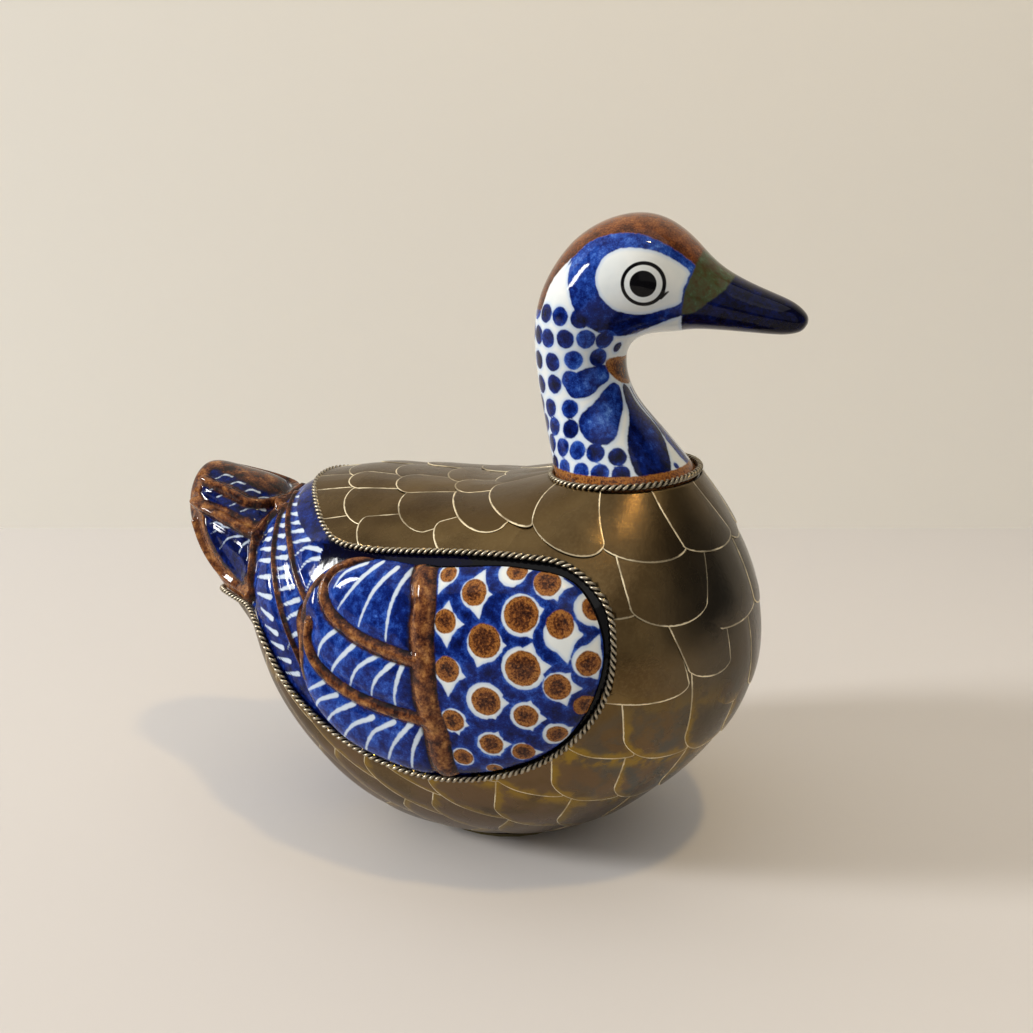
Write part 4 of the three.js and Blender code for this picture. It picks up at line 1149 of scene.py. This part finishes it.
# Belly and rump: smaller feathers, in courses that pass under the duck from side to side.
# Each course: its tip, its step in degrees, and whether a feather lies on the middle line.
BELLY_COURSES = [(114, 16, False), (146, 14.5, True), (178, 14, True)]
RUMP_COURSES = [
    (203, 14.6, True), (226, 15.6, False), (250, 16, True), (274, 16, False), (298, 16, True),
]
BELLY_STARTS_AT = 96
RUMP_STARTS_AT = 90
COURSE_LENGTH = 58
COURSE_DEPTH = 14
MIDDLE_DEPTH = 10
RUMP_STRIPS = ["7", "8", "9_a", "9_b", "10", "11", "12"]


def round_course(tip, step, odd, least):
    """A course from the window's lower edge on one side to the other. Each feather laps over
    its neighbour towards the window. Seams lean towards the middle line as they go down, and
    less the nearer they are to it."""
    count = int((180 - least) // step)
    start = 180 - step * (count + (0.5 if odd else 0))
    seams = [(at - min(25, 0.55 * (180 - at)), at) for at in start + step * np.arange(count + 1)]
    root = tip - COURSE_LENGTH
    sides = both_sides([(*seams[i : i + 2], root, tip, COURSE_DEPTH, 0.0, -0.4) for i in range(count)])
    upper, lower = seams[-1]
    middle = ((upper, lower), (360 - upper, 360 - lower), root, tip, MIDDLE_DEPTH, 0.35)
    return sides + ([middle] if odd else [])


for number, course in enumerate(BELLY_COURSES):
    feathers = round_course(*course, BELLY_STARTS_AT)
    feather_course(f"belly_course_{number + 1}", feathers, [f"belly_strip_{number + 4}"])
for number, course in enumerate(RUMP_COURSES):
    strips = [f"rump_strip_{strip}" for strip in RUMP_STRIPS] if number == 0 else []
    feather_course(f"rump_course_{number + 1}", round_course(*course, RUMP_STARTS_AT), strips)

# Twisted wire: two round strands wound into a rope and soldered round the neck and the window,
# over the feathers' cut edges. Dirt stays between the strands, and their crests are bright.
ROPE_DIAMETER = 2.7
ROPE_LIFT = 1.65
TWIST_PITCH = 5.4
WIRE_TONES = [(0.30, (0.012, 0.010, 0.008)), (0.62, (0.10, 0.082, 0.055)), (0.95, (0.42, 0.37, 0.28))]
STRAND_SIDES = 9
STRAND_STEPS = 14
STRAND_SHARE = 0.26


def twisted_wire():
    """Brass wire, dark between the strands and bare on their crests."""
    wire = Finish("twisted_wire")
    worn = wire.plus(wire.field("crest"), wire.times(wire.uneven(3.5, 3, 0.6), 0.8))
    wire.join(wire.ramp(worn, WIRE_TONES), wire.surface["Base Color"])
    wire.join(1.0, wire.surface["Metallic"])
    wire.join(0.36, wire.surface["Roughness"])
    return wire.material


rope_brass = twisted_wire()


def twisted_rope(name, path, outward, nodes):
    """Two strands round a closed path. A strand's middle circles the path at a quarter of the
    rope's diameter, one turn to a pitch, half a turn from the other strand's."""
    closed_path = np.concatenate([path, path[:1]])
    lengths = np.r_[0, np.cumsum(np.linalg.norm(np.diff(closed_path, axis=0), axis=1))]
    turns = round(lengths[-1] / TWIST_PITCH)
    count, sides = turns * STRAND_STEPS, STRAND_SIDES
    even = np.linspace(0, lengths[-1], count, endpoint=False)

    def along(rows):
        closed = np.concatenate([rows, rows[:1]])
        return np.stack([np.interp(even, lengths, column) for column in closed.T], -1)

    middle, up_line = along(path), along(outward)
    ahead_line = np.roll(middle, -1, 0) - np.roll(middle, 1, 0)
    ahead_line /= np.linalg.norm(ahead_line, axis=1, keepdims=True)
    up_line -= (up_line * ahead_line).sum(1, keepdims=True) * ahead_line
    up_line /= np.linalg.norm(up_line, axis=1, keepdims=True)
    side_line = np.cross(ahead_line, up_line)
    turn = -2 * math.pi * turns * np.arange(count) / count
    points, faces, crest = [], [], []
    for strand in (0, math.pi):
        out = np.cos(turn + strand)[:, None] * up_line + np.sin(turn + strand)[:, None] * side_line
        centre = middle + out * ROPE_DIAMETER / 4
        direction = np.roll(centre, -1, 0) - np.roll(centre, 1, 0)
        direction /= np.linalg.norm(direction, axis=1, keepdims=True)
        across = np.cross(direction, out)
        across /= np.linalg.norm(across, axis=1, keepdims=True)
        outward_line = np.cross(across, direction)
        section = 2 * math.pi * np.arange(sides) / sides
        ring = np.cos(section)[:, None] * outward_line[:, None] + np.sin(section)[:, None] * across[:, None]
        grid = centre[:, None] + ring * ROPE_DIAMETER * STRAND_SHARE
        j, k = np.arange(sides), (np.arange(sides) + 1) % sides
        row = np.arange(count)[:, None] * sides
        nxt = (np.arange(count)[:, None] + 1) % count * sides
        offset = len(points) * count * sides
        faces.append(np.stack([row + j, nxt + j, nxt + k, row + k], -1).reshape(-1, 4) + offset)
        points.append(grid.reshape(-1, 3))
        crest.append(np.broadcast_to(0.5 + 0.5 * np.cos(section), (count, sides)).ravel())
    fields = {"crest": np.concatenate(crest)}
    piece = piece_from(name, np.concatenate(points), faces, rope_brass, fields)
    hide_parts(*nodes)


turn = np.linspace(0, 2 * math.pi, 240, endpoint=False)
climb = np.linspace(0, 0.3, 61)
climbed = np.linalg.norm(np.diff(neck_point(climb[:, None], turn[None]), axis=0), axis=2).cumsum(0)
rise = np.array([np.interp(ROPE_LIFT, np.r_[0, column], climb) for column in climbed.T])
ring_normals = neck_normal(rise, turn)
twisted_rope("neck_wire", neck_point(rise, turn) + ROPE_LIFT * ring_normals, ring_normals, ["neck_rope"])


def window_path():
    """The window line carried onto both sides of the duck, between its crossings of the outline."""
    line = spaced(window_line, 3000)
    u, angle, outside = from_side(line[:, 0], line[:, 1])
    seen = np.flatnonzero(outside <= 0)
    first, last = seen[seen < 1500].min(), seen[seen > 1500].max()
    crowded = (1 - np.cos(np.linspace(0, math.pi, 241))) / 2
    pick = np.interp(first + (last - first) * crowded, np.arange(3001), np.arange(3001)).round().astype(int)
    u, angle = u[pick], angle[pick]
    angle[0], angle[-1] = 0.0, math.pi
    all_u = np.r_[u[::-1], u[1:-1]]
    all_angle = np.r_[angle[::-1], -angle[1:-1]]
    return body_point(all_u, all_angle), body_normal(all_u, all_angle)


window_points, window_normals = window_path()
twisted_rope("window_wire", window_points + ROPE_LIFT * window_normals, window_normals, ["window_rope"])

# Sole: a flat oval of the same brass, cut from sheet and soldered to the lowest feathers, so
# that the duck stands level. It keeps its solid from the CAD and only gets its material here.
sole_brass = Finish("sole_brass")
sole_brass.join(
    sole_brass.blend(sole_brass.noise(9), (0.16, 0.13, 0.06), (0.27, 0.23, 0.12)),
    sole_brass.surface["Base Color"],
)
sole_brass.join(1.0, sole_brass.surface["Metallic"])
sole_brass.join(0.45, sole_brass.surface["Roughness"])
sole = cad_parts["sole_plate"]
sole.data.materials.clear()
sole.data.materials.append(sole_brass.material)
